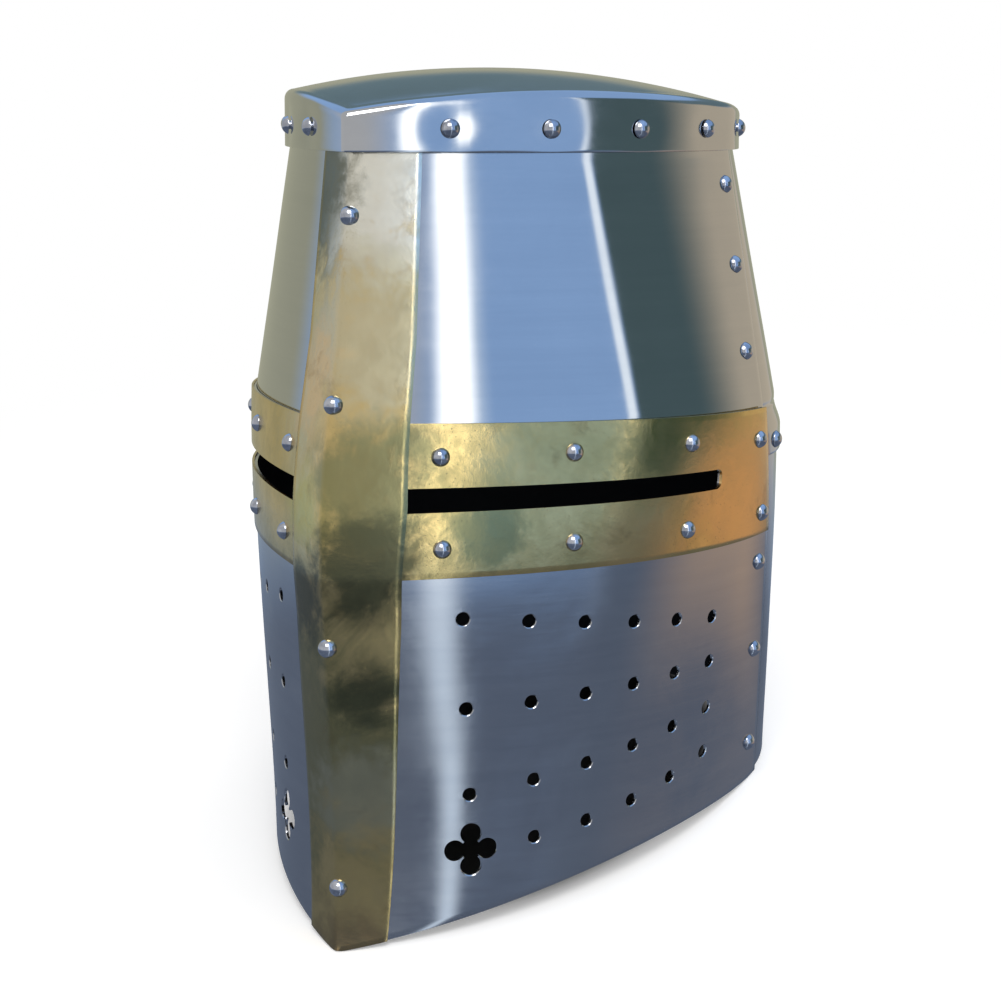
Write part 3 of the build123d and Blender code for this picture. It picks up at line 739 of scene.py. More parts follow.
def fine_pits() -> Tree:
    """Effect of small pits and specks."""
    effect = Effect("fine_pits", Scale=400.0, Size=0.2)
    inputs = {"Vector": effect.given["Vector"], "Scale": effect.given["Scale"], "Randomness": 1.0}
    away = effect.add("ShaderNodeTexVoronoi", inputs).outputs["Distance"]
    return effect.end(Pits=effect.fade(away, 0.0, effect.given["Size"], 1.0, 0.0))


@dataclass(frozen=True)
class Effects:
    """The shared effects, each made once."""

    lines: Tree
    mottle: Tree
    pits: Tree


@dataclass(frozen=True)
class Clouds:
    """Cloudy patches: how fine they are, and from which to which value of the noise their borders fade."""

    scale: float
    low: float
    high: float


@dataclass(frozen=True)
class Specks:
    """Pits or pebbles: how fine they are, and how much of the space between them they fill."""

    scale: float
    size: float


class Paint(NodeShop):
    """A material in the making, with its shader and its Object coordinates."""

    def __init__(self, name: str, effects: Effects | None = None) -> None:
        """Start a material that uses these effects."""
        self.material = bpy.data.materials.new(name)
        self.material.use_nodes = True
        super().__init__(self.material.node_tree)
        self.effects = effects
        self.shader = self.tree.nodes["Principled BSDF"]
        self.place = self.add("ShaderNodeTexCoord").outputs["Object"]

    def effect(self, tree: Tree, **inputs: object) -> bpy.types.bpy_prop_collection:
        """Place a shared effect and return its outputs."""
        node = self.add("ShaderNodeGroup", node_tree=tree)
        return self.feed(node, {"Vector": self.place, **inputs}).outputs

    def clouds(self, look: Clouds) -> Socket:
        """Cloudy patches, 1 inside and 0 outside."""
        return self.effect(self.effects.mottle, Scale=look.scale, Low=look.low, High=look.high)[0]

    def specks(self, look: Specks) -> Socket:
        """Pits or pebbles, 1 in their middle and 0 between them."""
        return self.effect(self.effects.pits, Scale=look.scale, Size=look.size)[0]

    def bump(self, strength: float, depth: float, height: Socket) -> Socket:
        """Normals for a relief of this depth in metres."""
        inputs = {"Strength": strength, "Distance": depth, "Height": height}
        return self.add("ShaderNodeBump", inputs).outputs[0]

    def shaded(self, inputs: Inputs) -> Material:
        """Give the shader its inputs and return the material."""
        self.feed(self.shader, inputs)
        return self.material

    def surfaced(self, surface: Socket) -> Material:
        """Show another surface than the shader's and return the material."""
        self.feed(self.tree.nodes["Material Output"], {"Surface": surface})
        return self.material


@dataclass(frozen=True)
class SteelFinish:
    """Brushed steel, painted black inside as painted shade: its two tones, how rough it is and which way it
    was brushed.
    """

    name: str
    light: Colour
    dark: Colour
    roughness: Range
    brushing: Point
    line_depth: float
    anisotropy: float
    line_strength: float = 0.35
    line_tone: Range = (-0.25, 0.25)
    # How much the broad bands lighten the colour: partly brushing, partly a painted sheen.
    sheen_tone: Range = (-0.2, 0.95)
    wear: Clouds = Clouds(17.0, 0.35, 0.68)
    wear_tone: Range = (-0.18, 0.18)
    wear_roughness: Range = (-0.03, 0.04)
    across_brushing: float = 0.25
    # Painted shade: the colour of the inner faces, which are painted matt black and not metal.
    inner_black: Colour = (0.012, 0.012, 0.012, 1)
    inner_roughness: float = 0.8
    inner_facing: float = -30 * MM

    def make(self, effects: Effects) -> Material:
        """Make the material.

        Args:
            effects: The shared effects.

        Returns:
            The material, painted black as painted shade where a face looks at the helm's axis.
        """
        paint = Paint(self.name, effects)
        along = paint.add("ShaderNodeMapping", {"Vector": paint.place, "Scale": self.brushing}).outputs[0]
        lines = paint.effect(effects.lines, Vector=along)
        wear = paint.clouds(self.wear)
        # The broad bands lighten the colour in streaks, partly brushing and partly a painted sheen; the fine
        # lines and the wear are the steel's own.
        tone = paint.total(
            paint.spread(lines["Sheen"], *self.sheen_tone),
            paint.spread(lines["Lines"], *self.line_tone),
            paint.spread(wear, *self.wear_tone),
        )
        colour = paint.mix(paint.add("ShaderNodeClamp", {"Value": tone}).outputs[0], self.dark, self.light)
        rough = paint.spread(lines["Lines"], *self.roughness)
        rough = paint.total(rough, paint.spread(wear, *self.wear_roughness))
        # Faces that look at the helm's axis are painted black: painted shade inside the helm.
        from_axis = paint.vector("MULTIPLY", paint.place, (1.0, 1.0, 0.0))
        normal = paint.add("ShaderNodeNewGeometry").outputs["True Normal"]
        inside = paint.math("LESS_THAN", paint.vector("DOT_PRODUCT", normal, from_axis), self.inner_facing)
        return paint.shaded({
            "Base Color": paint.mix(inside, colour, self.inner_black),
            "Metallic": paint.math("SUBTRACT", 1.0, inside),
            "Roughness": paint.math("MAXIMUM", rough, paint.math("MULTIPLY", inside, self.inner_roughness)),
            "Normal": paint.bump(self.line_strength, self.line_depth, lines["Lines"]),
            "Tangent": paint.add("ShaderNodeTangent", direction_type="RADIAL", axis="Z").outputs[0],
            "Anisotropic": self.anisotropy,
            "Anisotropic Rotation": self.across_brushing,
        })


class PatinaAndHighlight(Enum):
    """What handling, polish and rain leave on brass, and a near white tone that is partly a painted
    highlight.
    """

    # Near white: polished brass that is partly a painted highlight.
    POLISHED = (0.95, 0.92, 0.8, 1)
    PALE = (0.7, 0.63, 0.42, 1)
    YELLOW = (0.65, 0.55, 0.15, 1)
    COPPERY = (0.9, 0.6, 0.27, 1)
    BROWN = (0.4, 0.28, 0.15, 1)
    OLIVE = (0.3, 0.29, 0.14, 1)
    DARK = (0.13, 0.13, 0.07, 1)


@dataclass(frozen=True)
class Patch:
    """A patch of brass tone with a cloudy border, mostly tarnish and polish, in one place partly a painted
    highlight.

    Its middle and its reach are in millimetres, then come what it is and how much it covers.
    """

    middle: Point
    reach: float
    patina: PatinaAndHighlight
    cover: float = 0.8


@dataclass(frozen=True)
class BrassFinish:
    """Aged brass: gold, olive and brown clouds, fine pits, and the patches that handling and rain left, one
    of them partly a painted highlight.
    """

    name: str = "aged_brass"
    gold: Colour = (0.84, 0.62, 0.27, 1)
    olive: Colour = (0.54, 0.42, 0.17, 1)
    brown: Colour = (0.20, 0.14, 0.06, 1)
    broad: Clouds = Clouds(26.0, 0.36, 0.66)
    small: Clouds = Clouds(120.0, 0.3, 0.75)
    small_part: float = 0.34
    stains: Clouds = Clouds(44.0, 0.56, 0.78)
    stain_cover: float = 0.55
    stain_roughness: float = 0.12
    pits: Specks = Specks(620.0, 0.17)
    pit_cover: float = 0.5
    roughness: Range = (0.22, 0.11)
    relief_strength: float = 0.35
    relief: float = 0.07 * MM
    broad_raggedness: Range = (-0.3, 0.3)
    small_raggedness: Range = (-0.15, 0.15)
    patch_border: Range = (0.35, 1.1)
    patches: tuple[Patch, ...] = (
        Patch((-26, -112, 284), 42, PatinaAndHighlight.DARK, 0.95),
        # Top of the strip on the left side: polish and a painted highlight.
        Patch((16, -116, 292), 42, PatinaAndHighlight.POLISHED, 0.97),
        Patch((-22, -110, 290), 27, PatinaAndHighlight.DARK, 0.95),
        Patch((12, -128, 235), 36, PatinaAndHighlight.PALE, 0.75),
        Patch((-26, -126, 216), 26, PatinaAndHighlight.COPPERY),
        Patch((-14, -132, 170), 20, PatinaAndHighlight.YELLOW, 0.75),
        Patch((12, -133, 182), 24, PatinaAndHighlight.OLIVE, 0.85),
        Patch((-13, -132, 84), 60, PatinaAndHighlight.OLIVE, 0.75),
        Patch((-14, -133, 136), 20, PatinaAndHighlight.DARK, 0.85),
        Patch((12, -134, 145), 26, PatinaAndHighlight.DARK, 0.9),
        Patch((11, -133, 104), 20, PatinaAndHighlight.DARK, 0.9),
        Patch((8, -136, 60), 26, PatinaAndHighlight.PALE, 0.6),
        Patch((4, -136, 4), 24, PatinaAndHighlight.BROWN),
        Patch((112, -8, 168), 40, PatinaAndHighlight.COPPERY, 0.85),
        Patch((90, -60, 155), 22, PatinaAndHighlight.COPPERY, 0.6),
        Patch((25, -122, 196), 12, PatinaAndHighlight.OLIVE),
        Patch((47, -106, 158), 17, PatinaAndHighlight.OLIVE, 0.85),
        Patch((92, -56, 190), 14, PatinaAndHighlight.OLIVE, 0.7),
    )

    def make(self, effects: Effects) -> Material:
        """Make the material."""
        paint = Paint(self.name, effects)
        broad, small, stain = (paint.clouds(look) for look in (self.broad, self.small, self.stains))
        pits = paint.specks(self.pits)
        gold = paint.total(
            paint.math("MULTIPLY", broad, 1 - self.small_part),
            paint.math("MULTIPLY", small, self.small_part),
        )
        colour = paint.mix(gold, self.olive, self.gold)
        for patch in self.patches:
            away = paint.vector("DISTANCE", paint.place, [length * MM for length in patch.middle])
            border = paint.total(
                paint.math("DIVIDE", away, patch.reach * MM),
                paint.spread(broad, *self.broad_raggedness),
                paint.spread(small, *self.small_raggedness),
            )
            cover = paint.fade(border, *self.patch_border, patch.cover, 0.0)
            colour = paint.mix(cover, colour, patch.patina.value)
        for mask, cover in ((stain, self.stain_cover), (pits, self.pit_cover)):
            colour = paint.mix(paint.math("MULTIPLY", mask, cover), colour, self.brown)
        rough = paint.math("MULTIPLY", stain, self.stain_roughness)
        height = paint.math("SUBTRACT", paint.total(small, broad), pits)
        return paint.shaded({
            "Base Color": colour,
            "Metallic": 1.0,
            "Roughness": paint.total(paint.spread(small, *self.roughness), rough),
            "Normal": paint.bump(self.relief_strength, self.relief, height),
        })


@dataclass(frozen=True)
class PlainMetal:
    """Metal of one tone with a little variation, for rivets and washers."""

    name: str
    light: Colour
    dark: Colour
    roughness: Range
    wear: Clouds = Clouds(60.0, 0.35, 0.65)

    def make(self, effects: Effects) -> Material:
        """Make the material."""
        paint = Paint(self.name, effects)
        wear = paint.clouds(self.wear)
        return paint.shaded({
            "Base Color": paint.mix(wear, self.dark, self.light),
            "Metallic": 1.0,
            "Roughness": paint.spread(wear, *self.roughness),
        })


@dataclass(frozen=True)
class LeatherFinish:
    """Vegetable tanned leather with a pebbled grain."""

    name: str = "tanned_leather"
    light: Colour = (0.33, 0.19, 0.10, 1)
    dark: Colour = (0.16, 0.085, 0.045, 1)
    wear: Clouds = Clouds(24.0, 0.3, 0.7)
    pebbles: Specks = Specks(900.0, 0.55)
    roughness: Range = (0.62, 0.48)
    grain_strength: float = 0.5
    grain: float = 0.15 * MM

    def make(self, effects: Effects) -> Material:
        """Make the material."""
        paint = Paint(self.name, effects)
        pebbles = paint.specks(self.pebbles)
        return paint.shaded({
            "Base Color": paint.mix(paint.clouds(self.wear), self.dark, self.light),
            "Roughness": paint.spread(pebbles, *self.roughness),
            "Normal": paint.bump(self.grain_strength, self.grain, pebbles),
        })


# Pieces


@dataclass
class HoleCutters:
    """Cutters for the breaths and the quatrefoils, each with a flare that breaks the hole's outer rim."""

    form: HelmForm
    breath_radius: float = 2.6 * MM
    along_front: float = 50.5 * MM
    along_rear: float = 163.5 * MM
    columns: int = 6
    crowding: float = 0.92
    rows: tuple[tuple[float, float, float], ...] = (
        (129.5 * MM, 118 * MM, 0.0),
        (94.5 * MM, 99 * MM, 0.0),
        (60.5 * MM, 79 * MM, 0.0),
        (38.5 * MM, 59.5 * MM, 2.9 * MM),
    )
    lobe_radius: float = 4.1 * MM
    lobe_offset: float = 6.3 * MM
    eye_radius: float = 4.0 * MM
    reach: float = 8 * MM
    rim: float = 0.32 * MM

    def places(self) -> list[Range]:
        """Height and way round the sheet of each hole on the left side, the quatrefoil's last."""
        found = []
        for front, rear, sag in self.rows:
            for column in range(self.columns):
                share = column / (self.columns - 1)
                z = front + share * (rear - front) - 4 * sag * share * (1 - share)
                along = self.along_front + share**self.crowding * (self.along_rear - self.along_front)
                found.append((z, along))
        found.append(found.pop(-self.columns))
        return found

    def round_outline(self, radius: float, count: int = 36) -> list[Range]:
        """Points of a round hole."""
        turns = [2 * math.pi * step / count for step in range(count)]
        return [(radius * math.cos(turn), radius * math.sin(turn)) for turn in turns]

    def quatrefoil_outline(self, count: int = 20) -> list[Range]:
        """Points of a quatrefoil: four lobes, which meet the round eye between them."""
        eye, lobe, offset = self.eye_radius, self.lobe_radius, self.lobe_offset
        meet_x = (eye**2 - lobe**2 + offset**2) / (2 * offset)
        sweep = math.acos((meet_x - offset) / lobe)
        points = []
        for quarter in range(4):
            turn = quarter * math.pi / 2
            cosine, sine = math.cos(turn), math.sin(turn)
            for step in range(count + 1):
                angle = sweep * (2 * step / count - 1)
                x, y = offset + lobe * math.cos(angle), lobe * math.sin(angle)
                points.append((x * cosine - y * sine, x * sine + y * cosine))
            middle = turn + math.pi / 4
            points.append((eye * math.cos(middle), eye * math.sin(middle)))
        return points

    def punch(self, outline: Sequence[Range]) -> Piece:
        """A cutter on the Z axis, whose flare starts just under the sheet's outer face.

        Args:
            outline: The hole's points, once round it.

        Returns:
            The cutter.
        """
        deselect_all()
        bpy.ops.mesh.primitive_circle_add(vertices=len(outline), fill_type="NGON")
        piece = bpy.context.object
        for vertex, (x, y) in zip(piece.data.vertices, outline):
            vertex.co = (x, y, -self.rim - self.reach)
        edit_whole(piece)
        rise = 3 * self.rim
        reach = max(math.hypot(*point) for point in outline)
        flare = 1 + rise / reach
        bpy.ops.mesh.extrude_region_move(TRANSFORM_OT_translate={"value": (0, 0, self.reach)})
        bpy.ops.mesh.extrude_region_move(TRANSFORM_OT_translate={"value": (0, 0, rise)})
        bpy.ops.transform.resize(value=(flare, flare, 1), center_override=(0, 0, 0))
        face_outwards(piece)
        return piece

    def build(self) -> Piece:
        """All the cutters as one piece that doesn't overlap itself."""
        breath = self.punch(self.round_outline(self.breath_radius))
        quatrefoil = self.punch(self.quatrefoil_outline())
        *plain, last = self.places()
        group = []
        for left in (True, False):
            group += [copy_of(breath, self.sunk(z, along, left)) for z, along in plain]
            group.append(copy_of(quatrefoil, self.sunk(*last, left)))
        remove(breath)
        remove(quatrefoil)
        return join(group, "hole_cutter")

    def sunk(self, z: float, along: float, left: bool) -> Matrix:
        """Seat of a hole, moved in with the sheet's own hollows."""
        place = seat_on(self.form.lower, z, along, left)
        depth = hand_work(np.array([place.translation]))[0]
        return place @ Matrix.Translation((0, 0, -depth))


@dataclass
class SightCutter:
    """Cutter for the two sights, drawn from the side and pushed right through the helm."""

    front: Range = (170 * MM, 179.2 * MM)
    rear: Range = (171 * MM, 178.8 * MM)
    front_reach: float = 131 * MM
    rear_reach: float = 24.5 * MM
    corner: float = 2.5 * MM
    half_length: float = 140 * MM

    def build(self, margin: float) -> Piece:
        """Make the cutter, larger by this margin all round."""
        deselect_all()
        bpy.ops.mesh.primitive_cube_add(size=2)
        piece = bpy.context.object
        for vertex in piece.data.vertices:
            is_front, is_top = vertex.co.y < 0, vertex.co.z > 0
            low, high = self.front if is_front else self.rear
            reach = self.front_reach + margin if is_front else self.rear_reach - margin
            height = high + margin if is_top else low - margin
            vertex.co = (vertex.co.x * self.half_length, -reach, height)
        edit_whole(piece)
        bpy.ops.mesh.select_all(action="DESELECT")
        bpy.ops.object.mode_set(mode="OBJECT")
        for edge in piece.data.edges:
            first, second = (piece.data.vertices[i].co for i in edge.vertices)
            edge.select = abs(first.x - second.x) > self.half_length
        bpy.ops.object.mode_set(mode="EDIT")
        bpy.ops.mesh.bevel(offset=self.corner + margin, segments=6, affect="EDGES")
        bpy.ops.object.mode_set(mode="OBJECT")
        return piece


@dataclass
class Plates:
    """The four steel plates."""

    form: HelmForm
    sight_margin: float = 0.8 * MM

    def level(self, height: float) -> Line:
        """A cutting line at one height."""
        return lambda y: np.full_like(y, height)

    def lap_end(self) -> End:
        """The end of a front plate, one lap behind the seam's rivets."""
        return end_behind(lambda z: self.form.seam(z) + self.form.seam_lap)

    def upper_front(self) -> Piece:
        """The plate above the brow."""
        form = self.form
        return SheetPlan(
            "upper_front_plate", form.upper, Part.FRONT, form.steel, self.level(form.upper_foot),
            self.level(form.plate_top), self.lap_end(),
            (form.upper_foot, form.plate_top), columns=58, rows=66,
        ).build()

    def upper_back(self) -> Piece:
        """The plate behind it, which flares over the lower back plate."""
        form = self.form

        def start(z: float) -> float:
            return form.rear_start(z, clear=z < form.rear_flare)

        return SheetPlan(
            "upper_back_plate", form.rear_upper, Part.BACK, form.steel, self.level(form.rear_foot),
            self.level(form.plate_top), end_behind(start), (form.rear_foot, form.plate_top),
            columns=50, rows=136,
        ).build()

    def lower_front(self) -> Piece:
        """The face plate with its sights, breaths and quatrefoils."""
        form = self.form
        piece = SheetPlan(
            "lower_front_plate", form.lower, Part.FRONT, form.steel, form.bottom,
            lambda y: form.band_line(True, y, -form.band_edge_gap),
            self.lap_end(), (0.0, form.band_front[1]), columns=62, rows=78,
        ).build()
        cut_out(piece, HoleCutters(form).build())
        cut_out(piece, SightCutter().build(self.sight_margin))
        return piece

    def lower_back(self) -> Piece:
        """The neck plate."""
        form = self.form

        def start(z: float) -> float:
            return form.rear_start(z, clear=z > form.brow_lap)

        return SheetPlan(
            "lower_back_plate", form.rear_lower, Part.BACK, form.steel, form.bottom,
            self.level(form.rear_lap_top), end_behind(start), (0.0, form.rear_lap_top), columns=50, rows=120,
        ).build()

    def build(self, upper: Material, lower: Material) -> None:
        """Model the plates and dress those above the brow and those below it."""
        for maker, finish in (
            (self.upper_front, upper),
            (self.upper_back, upper),
            (self.lower_front, lower),
            (self.lower_back, lower),
        ):
            finish_sheet(maker(), "worn", finish)


@dataclass
class BrassCross:
    """The brow band and the keel strip."""

    form: HelmForm
    strip_heights: tuple[float, ...] = (0.0, 172 * MM, 310 * MM)
    strip_half_widths: tuple[float, ...] = (17 * MM, 25 * MM, 20.4 * MM)
    strip_bottom_gap: float = 0.3 * MM

    def band(self) -> Piece:
        """The bar of the cross, with the sights cut through it."""
        form = self.form
        piece = SheetPlan(
            "brow_band", form.band, Part.FRONT, form.brass, lambda y: form.band_line(False, y),
            lambda y: form.band_line(True, y), end_behind(lambda z: form.seam(z) + form.band_lap),
            form.band_front, columns=64, rows=25,
        ).build()
        cut_out(piece, SightCutter().build(0))
        return piece

    def strip(self) -> Piece:
        """The upright, folded over the keel."""
        form = self.form

        def half_width(z: float) -> float:
            return float(np.interp(z, self.strip_heights, self.strip_half_widths))

        top = self.strip_heights[-1]
        plan = SheetPlan(
            "keel_strip", form.strip, Part.FRONT, form.brass,
            lambda y: form.bottom(np.maximum(y, -form.stations[-1][1].keel)) + self.strip_bottom_gap,
            lambda y: np.full_like(y, top), end_beside(half_width), (0.0, top), columns=12, rows=150,
        )
        return plan.build()

    def build(self, finish: Material) -> None:
        """Model and dress the cross."""
        for maker in (self.band, self.strip):
            finish_sheet(maker(), "aged", finish)


@dataclass
class CrownCap:
    """The cap: a flange that turns over a small fold into the domed top."""

    form: HelmForm
    keel: float = 129 * MM
    side_gap: float = 0.2 * MM
    fold_radius: float = 4.0 * MM
    length_radius: float = 361 * MM
    breadth_radius: float = 347 * MM
    middle: float = 18 * MM
    edge: float = 0.25 * MM
    flange_rows: int = 13
    fold_rows: int = 7
    top_rows: int = 34
    half_columns: int = 90
    near_fold: Point = (0.004, 0.008, 0.014)
    dimple_radius: float = 8.5 * MM
    dimple_depth: float = 0.7 * MM
    rivet_height: float = 308.5 * MM
    rivets_each_side: int = 7

    def outline(self, depth: float) -> Outline:
        """The flange's outer face, or the outline this far inside it."""
        around = self.form.crown.inset(-self.form.steel - self.side_gap)
        return replace(around, keel=self.keel).inset(depth)

    def top_height(self, x: np.ndarray, y: np.ndarray) -> np.ndarray:
        """Height of the domed top."""
        axis = self.form.height - self.breadth_radius
        drop = self.length_radius - np.sqrt(self.length_radius**2 - (y + self.middle) ** 2)
        return axis + np.sqrt((self.form.height - drop - axis) ** 2 - x**2)

    def ring(self, depth: float) -> np.ndarray:
        """Places round the helm on the outline this far inside, from the back round the right side."""
        half = self.outline(depth).half(self.form.fold)
        lengths = run_of(half)
        rest = np.linspace(self.near_fold[-1], 1, self.half_columns)[1:]
        shares = np.concatenate([[0.0], self.near_fold, rest])
        left = np.column_stack(along_line(half, lengths, shares * lengths[-1]))
        right = left[::-1] * (-1, 1)
        return np.concatenate([right, left[1:]])

    def dimples(self, points: np.ndarray, normals: np.ndarray) -> np.ndarray:
        """Push the flange in a little round each of its rivets."""
        outline = self.outline(0).half(0)
        lengths = run_of(outline)
        depth = np.zeros(points.shape[:2])
        for number in range(1, self.rivets_each_side + 2):
            x, y = along_line(outline, lengths, lengths[-1] * number / (self.rivets_each_side + 1))
            for side in (-1, 1):
                away = np.linalg.norm(points - np.array([side * x, y, self.rivet_height]), axis=2)
                depth = np.maximum(depth, self.dimple_depth * np.exp(-((away / self.dimple_radius) ** 2)))
        return points - normals * depth[..., None]

    def build(self, finish: Material) -> None:
        """Model and dress the cap."""
        rows = []
        edge_ring = self.ring(self.fold_radius)
        low = self.form.flange_edge
        edge_height = self.top_height(edge_ring[:, 0], edge_ring[:, 1]) - self.fold_radius
        for share in np.linspace(0, 1, self.flange_rows):
            rows.append(np.column_stack([self.ring(0), low + share * (edge_height - low)]))
        for share in np.linspace(0, 1, self.fold_rows)[1:]:
            turn = share * math.pi / 2
            inner = self.ring(self.fold_radius * (1 - math.cos(turn)))
            rows.append(np.column_stack([inner, edge_height + self.fold_radius * math.sin(turn)]))
        centre = np.array([0.0, -self.middle])
        for share in np.linspace(1, 0, self.top_rows)[1:]:
            drawn = centre + (edge_ring - centre) * share
            rows.append(np.column_stack([drawn, self.top_height(drawn[:, 0], drawn[:, 1])]))
        points = np.array(rows)
        normals = grid_normals(points)
        normals[-1] = (0, 0, 1)
        points = self.dimples(hollowed(points, normals), normals)
        piece = shaped_grid("crown_cap_sheet", points)
        merge(piece, 0.01 * MM)
        thicken(piece, self.form.steel, self.edge)
        finish_sheet(piece, "worn", finish)


@dataclass
class RivetRows:
    """Round-headed rivets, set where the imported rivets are."""

    frame: dict
    head_radius: float = 3.5 * MM
    head_height: float = 2.6 * MM
    shank_radius: float = 1.6 * MM
    tail_radius: float = 2.5 * MM
    tail_height: float = 1.0 * MM
    tail_taper: float = 0.92
    tail_edge: float = 0.6
    rim_lip: float = 0.12 * MM
    keel_skirt: float = 1.9 * MM
    dome_steps: int = 10
    steps: int = 32
    groups: tuple[str, ...] = (
        "crown_rivets",
        "left_seam_rivets",
        "right_seam_rivets",
        "brow_upper_rivets",
        "brow_lower_rivets",
        "rear_brow_rivets",
        "keel_rivets",
    )

    def islands(self, node: Piece) -> list[np.ndarray]:
        """The triangles of each rivet of a node, as corners by triangle."""
        mesh = node.data
        mesh.calc_loop_triangles()
        corners = np.array([v.co for v in mesh.vertices])
        keys = {}
        welded = [keys.setdefault(tuple(np.round(c / (0.001 * MM)).astype(int)), len(keys)) for c in corners]
        parent = list(range(len(keys)))

        def root(item: int) -> int:
            while parent[item] != item:
                parent[item] = parent[parent[item]]
                item = parent[item]
            return item

        triangles = [tuple(t.vertices) for t in mesh.loop_triangles]
        for triangle in triangles:
            first = root(welded[triangle[0]])
            for corner in triangle[1:]:
                parent[root(welded[corner])] = first
        found: dict[int, list] = {}
        for triangle in triangles:
            found.setdefault(root(welded[triangle[0]]), []).append(corners[list(triangle)])
        return [np.array(group) for group in found.values()]

    def seat(self, triangles: np.ndarray, on_keel: bool) -> tuple[Matrix, float]:
        """Seat and grip of one rivet, read from its flat faces and its ends.

        Args:
            triangles: Corners of its triangles.
            on_keel: Whether it sits on the keel, where only its end is flat.

        Returns:
            The seat, with Z out of the helm, and the distance from it to the hammered end.
        """
        crosses = np.cross(triangles[:, 1] - triangles[:, 0], triangles[:, 2] - triangles[:, 0])
        areas = np.linalg.norm(crosses, axis=1)
        normals = crosses / np.maximum(areas, 1e-15)[:, None]
        weight = np.array([areas[normals @ normal > 0.9999].sum() for normal in normals])
        if on_keel:
            weight = np.where((np.abs(normals[:, 0]) < 0.01) & (normals[:, 1] > 0), weight, 0)
        axis = -normals[int(weight.argmax())]
        middle = triangles.reshape(-1, 3)
        reach = middle @ axis
        apex = middle[np.abs(reach - reach.max()) < 0.001 * MM].mean(0)
        z_axis = Vector(axis)
        x_axis = Vector((0, 0, 1)).cross(z_axis).normalized()
        depth = hand_work(np.array([apex]))[0]
        origin = Vector(apex) - z_axis * (self.head_height + depth)
        grip = reach.max() - self.head_height - reach.min() - self.tail_height
        return placed(x_axis, z_axis.cross(x_axis), z_axis, origin), grip

    def turned(self, grip: float, skirt: float) -> Piece:
        """One rivet on the Z axis: its outline is drawn as points and spun.

        Args:
            grip: Distance from the seat to the hammered end.
            skirt: How far the head's rim reaches below the seat, on a fold.

        Returns:
            The rivet.
        """
        sphere = (self.head_radius**2 + self.head_height**2) / (2 * self.head_height)
        centre = self.head_height - sphere
        rim = math.asin(self.head_radius / sphere)
        turns = [rim * step / self.dome_steps for step in range(self.dome_steps)]
        profile = [(sphere * math.sin(turn), centre + sphere * math.cos(turn)) for turn in turns]
        profile += [
            (self.head_radius, self.rim_lip),
            (self.head_radius, -skirt),
            (self.shank_radius, -skirt),
            (self.shank_radius, -grip),
            (self.tail_radius, -grip),
            (self.tail_radius * self.tail_taper, -grip - self.tail_height * self.tail_edge),
            (self.shank_radius, -grip - self.tail_height),
            (0.0, -grip - self.tail_height),
        ]
        mesh = bpy.data.meshes.new("rivet")
        mesh.from_pydata([(r, 0, z) for r, z in profile], [(i, i + 1) for i in range(len(profile) - 1)], [])
        piece = new_piece("rivet", mesh)
        edit_whole(piece)
        bpy.ops.mesh.spin(steps=self.steps, angle=2 * math.pi, center=(0, 0, 0), axis=(0, 0, 1))
        merge(piece)
        face_outwards(piece)
        return piece

    def build(self, finish: Material) -> None:
        """Model and dress every group of rivets."""
        for name in self.groups:
            on_keel = name == "keel_rivets"
            seats = [self.seat(island, on_keel) for island in self.islands(self.frame["nodes"][name])]
            grip = float(np.mean([grip for _, grip in seats]))
            model = self.turned(grip, self.keel_skirt if on_keel else 0.0)
            piece = join([copy_of(model, place) for place, _ in seats], f"{name}_polished")
            remove(model)
            smooth(piece, 50)
            settle(piece, name, finish)


@dataclass
class Liner:
    """The leather band, the tongues and the disc, with their washers and rivets."""

    frame: dict
    edge: float = 0.35 * MM
    soft_nodes: tuple[str, ...] = (
        "liner_band",
        "liner_crown_disc",
        *[f"liner_tongue_{number}" for number in range(1, 9)],
    )
    metal_nodes: tuple[str, ...] = ("liner_washers", "liner_crown_rivets")

    def leather_piece(self, node: str) -> Piece:
        """Copy a cut piece of leather, clean it up and round its edges."""
        piece = copy_of(self.frame["nodes"][node], Matrix.Identity(4))
        piece.name = f"{node}_leather"
        for key in list(piece.keys()):
            if key.startswith("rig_"):
                del piece[key]
        merge(piece)
        edit_whole(piece)
        bpy.ops.mesh.dissolve_limited(angle_limit=math.radians(0.6))
        bpy.ops.object.mode_set(mode="OBJECT")
        round_edges(piece, self.edge, 45)
        smooth(piece, 50)
        return piece

    def build(self, leather: Material, metal: Material) -> None:
        """Model and dress the lining."""
        for node in self.soft_nodes:
            settle(self.leather_piece(node), node, leather)
        for node in self.metal_nodes:
            dress(self.frame["nodes"][node], metal)


# Studio


@dataclass(frozen=True)
class Sight:
    """Something round the set that the metal mirrors.

    It reaches from one azimuth and elevation to another in degrees, and its borders fade over its softness,
    sideways and upwards. Azimuth 0 is before the face, and 90 is beside the wearer's left ear.
    """

    azimuth: Range
    elevation: Range
    colour: Point
    softness: Range = (4.0, 6.0)


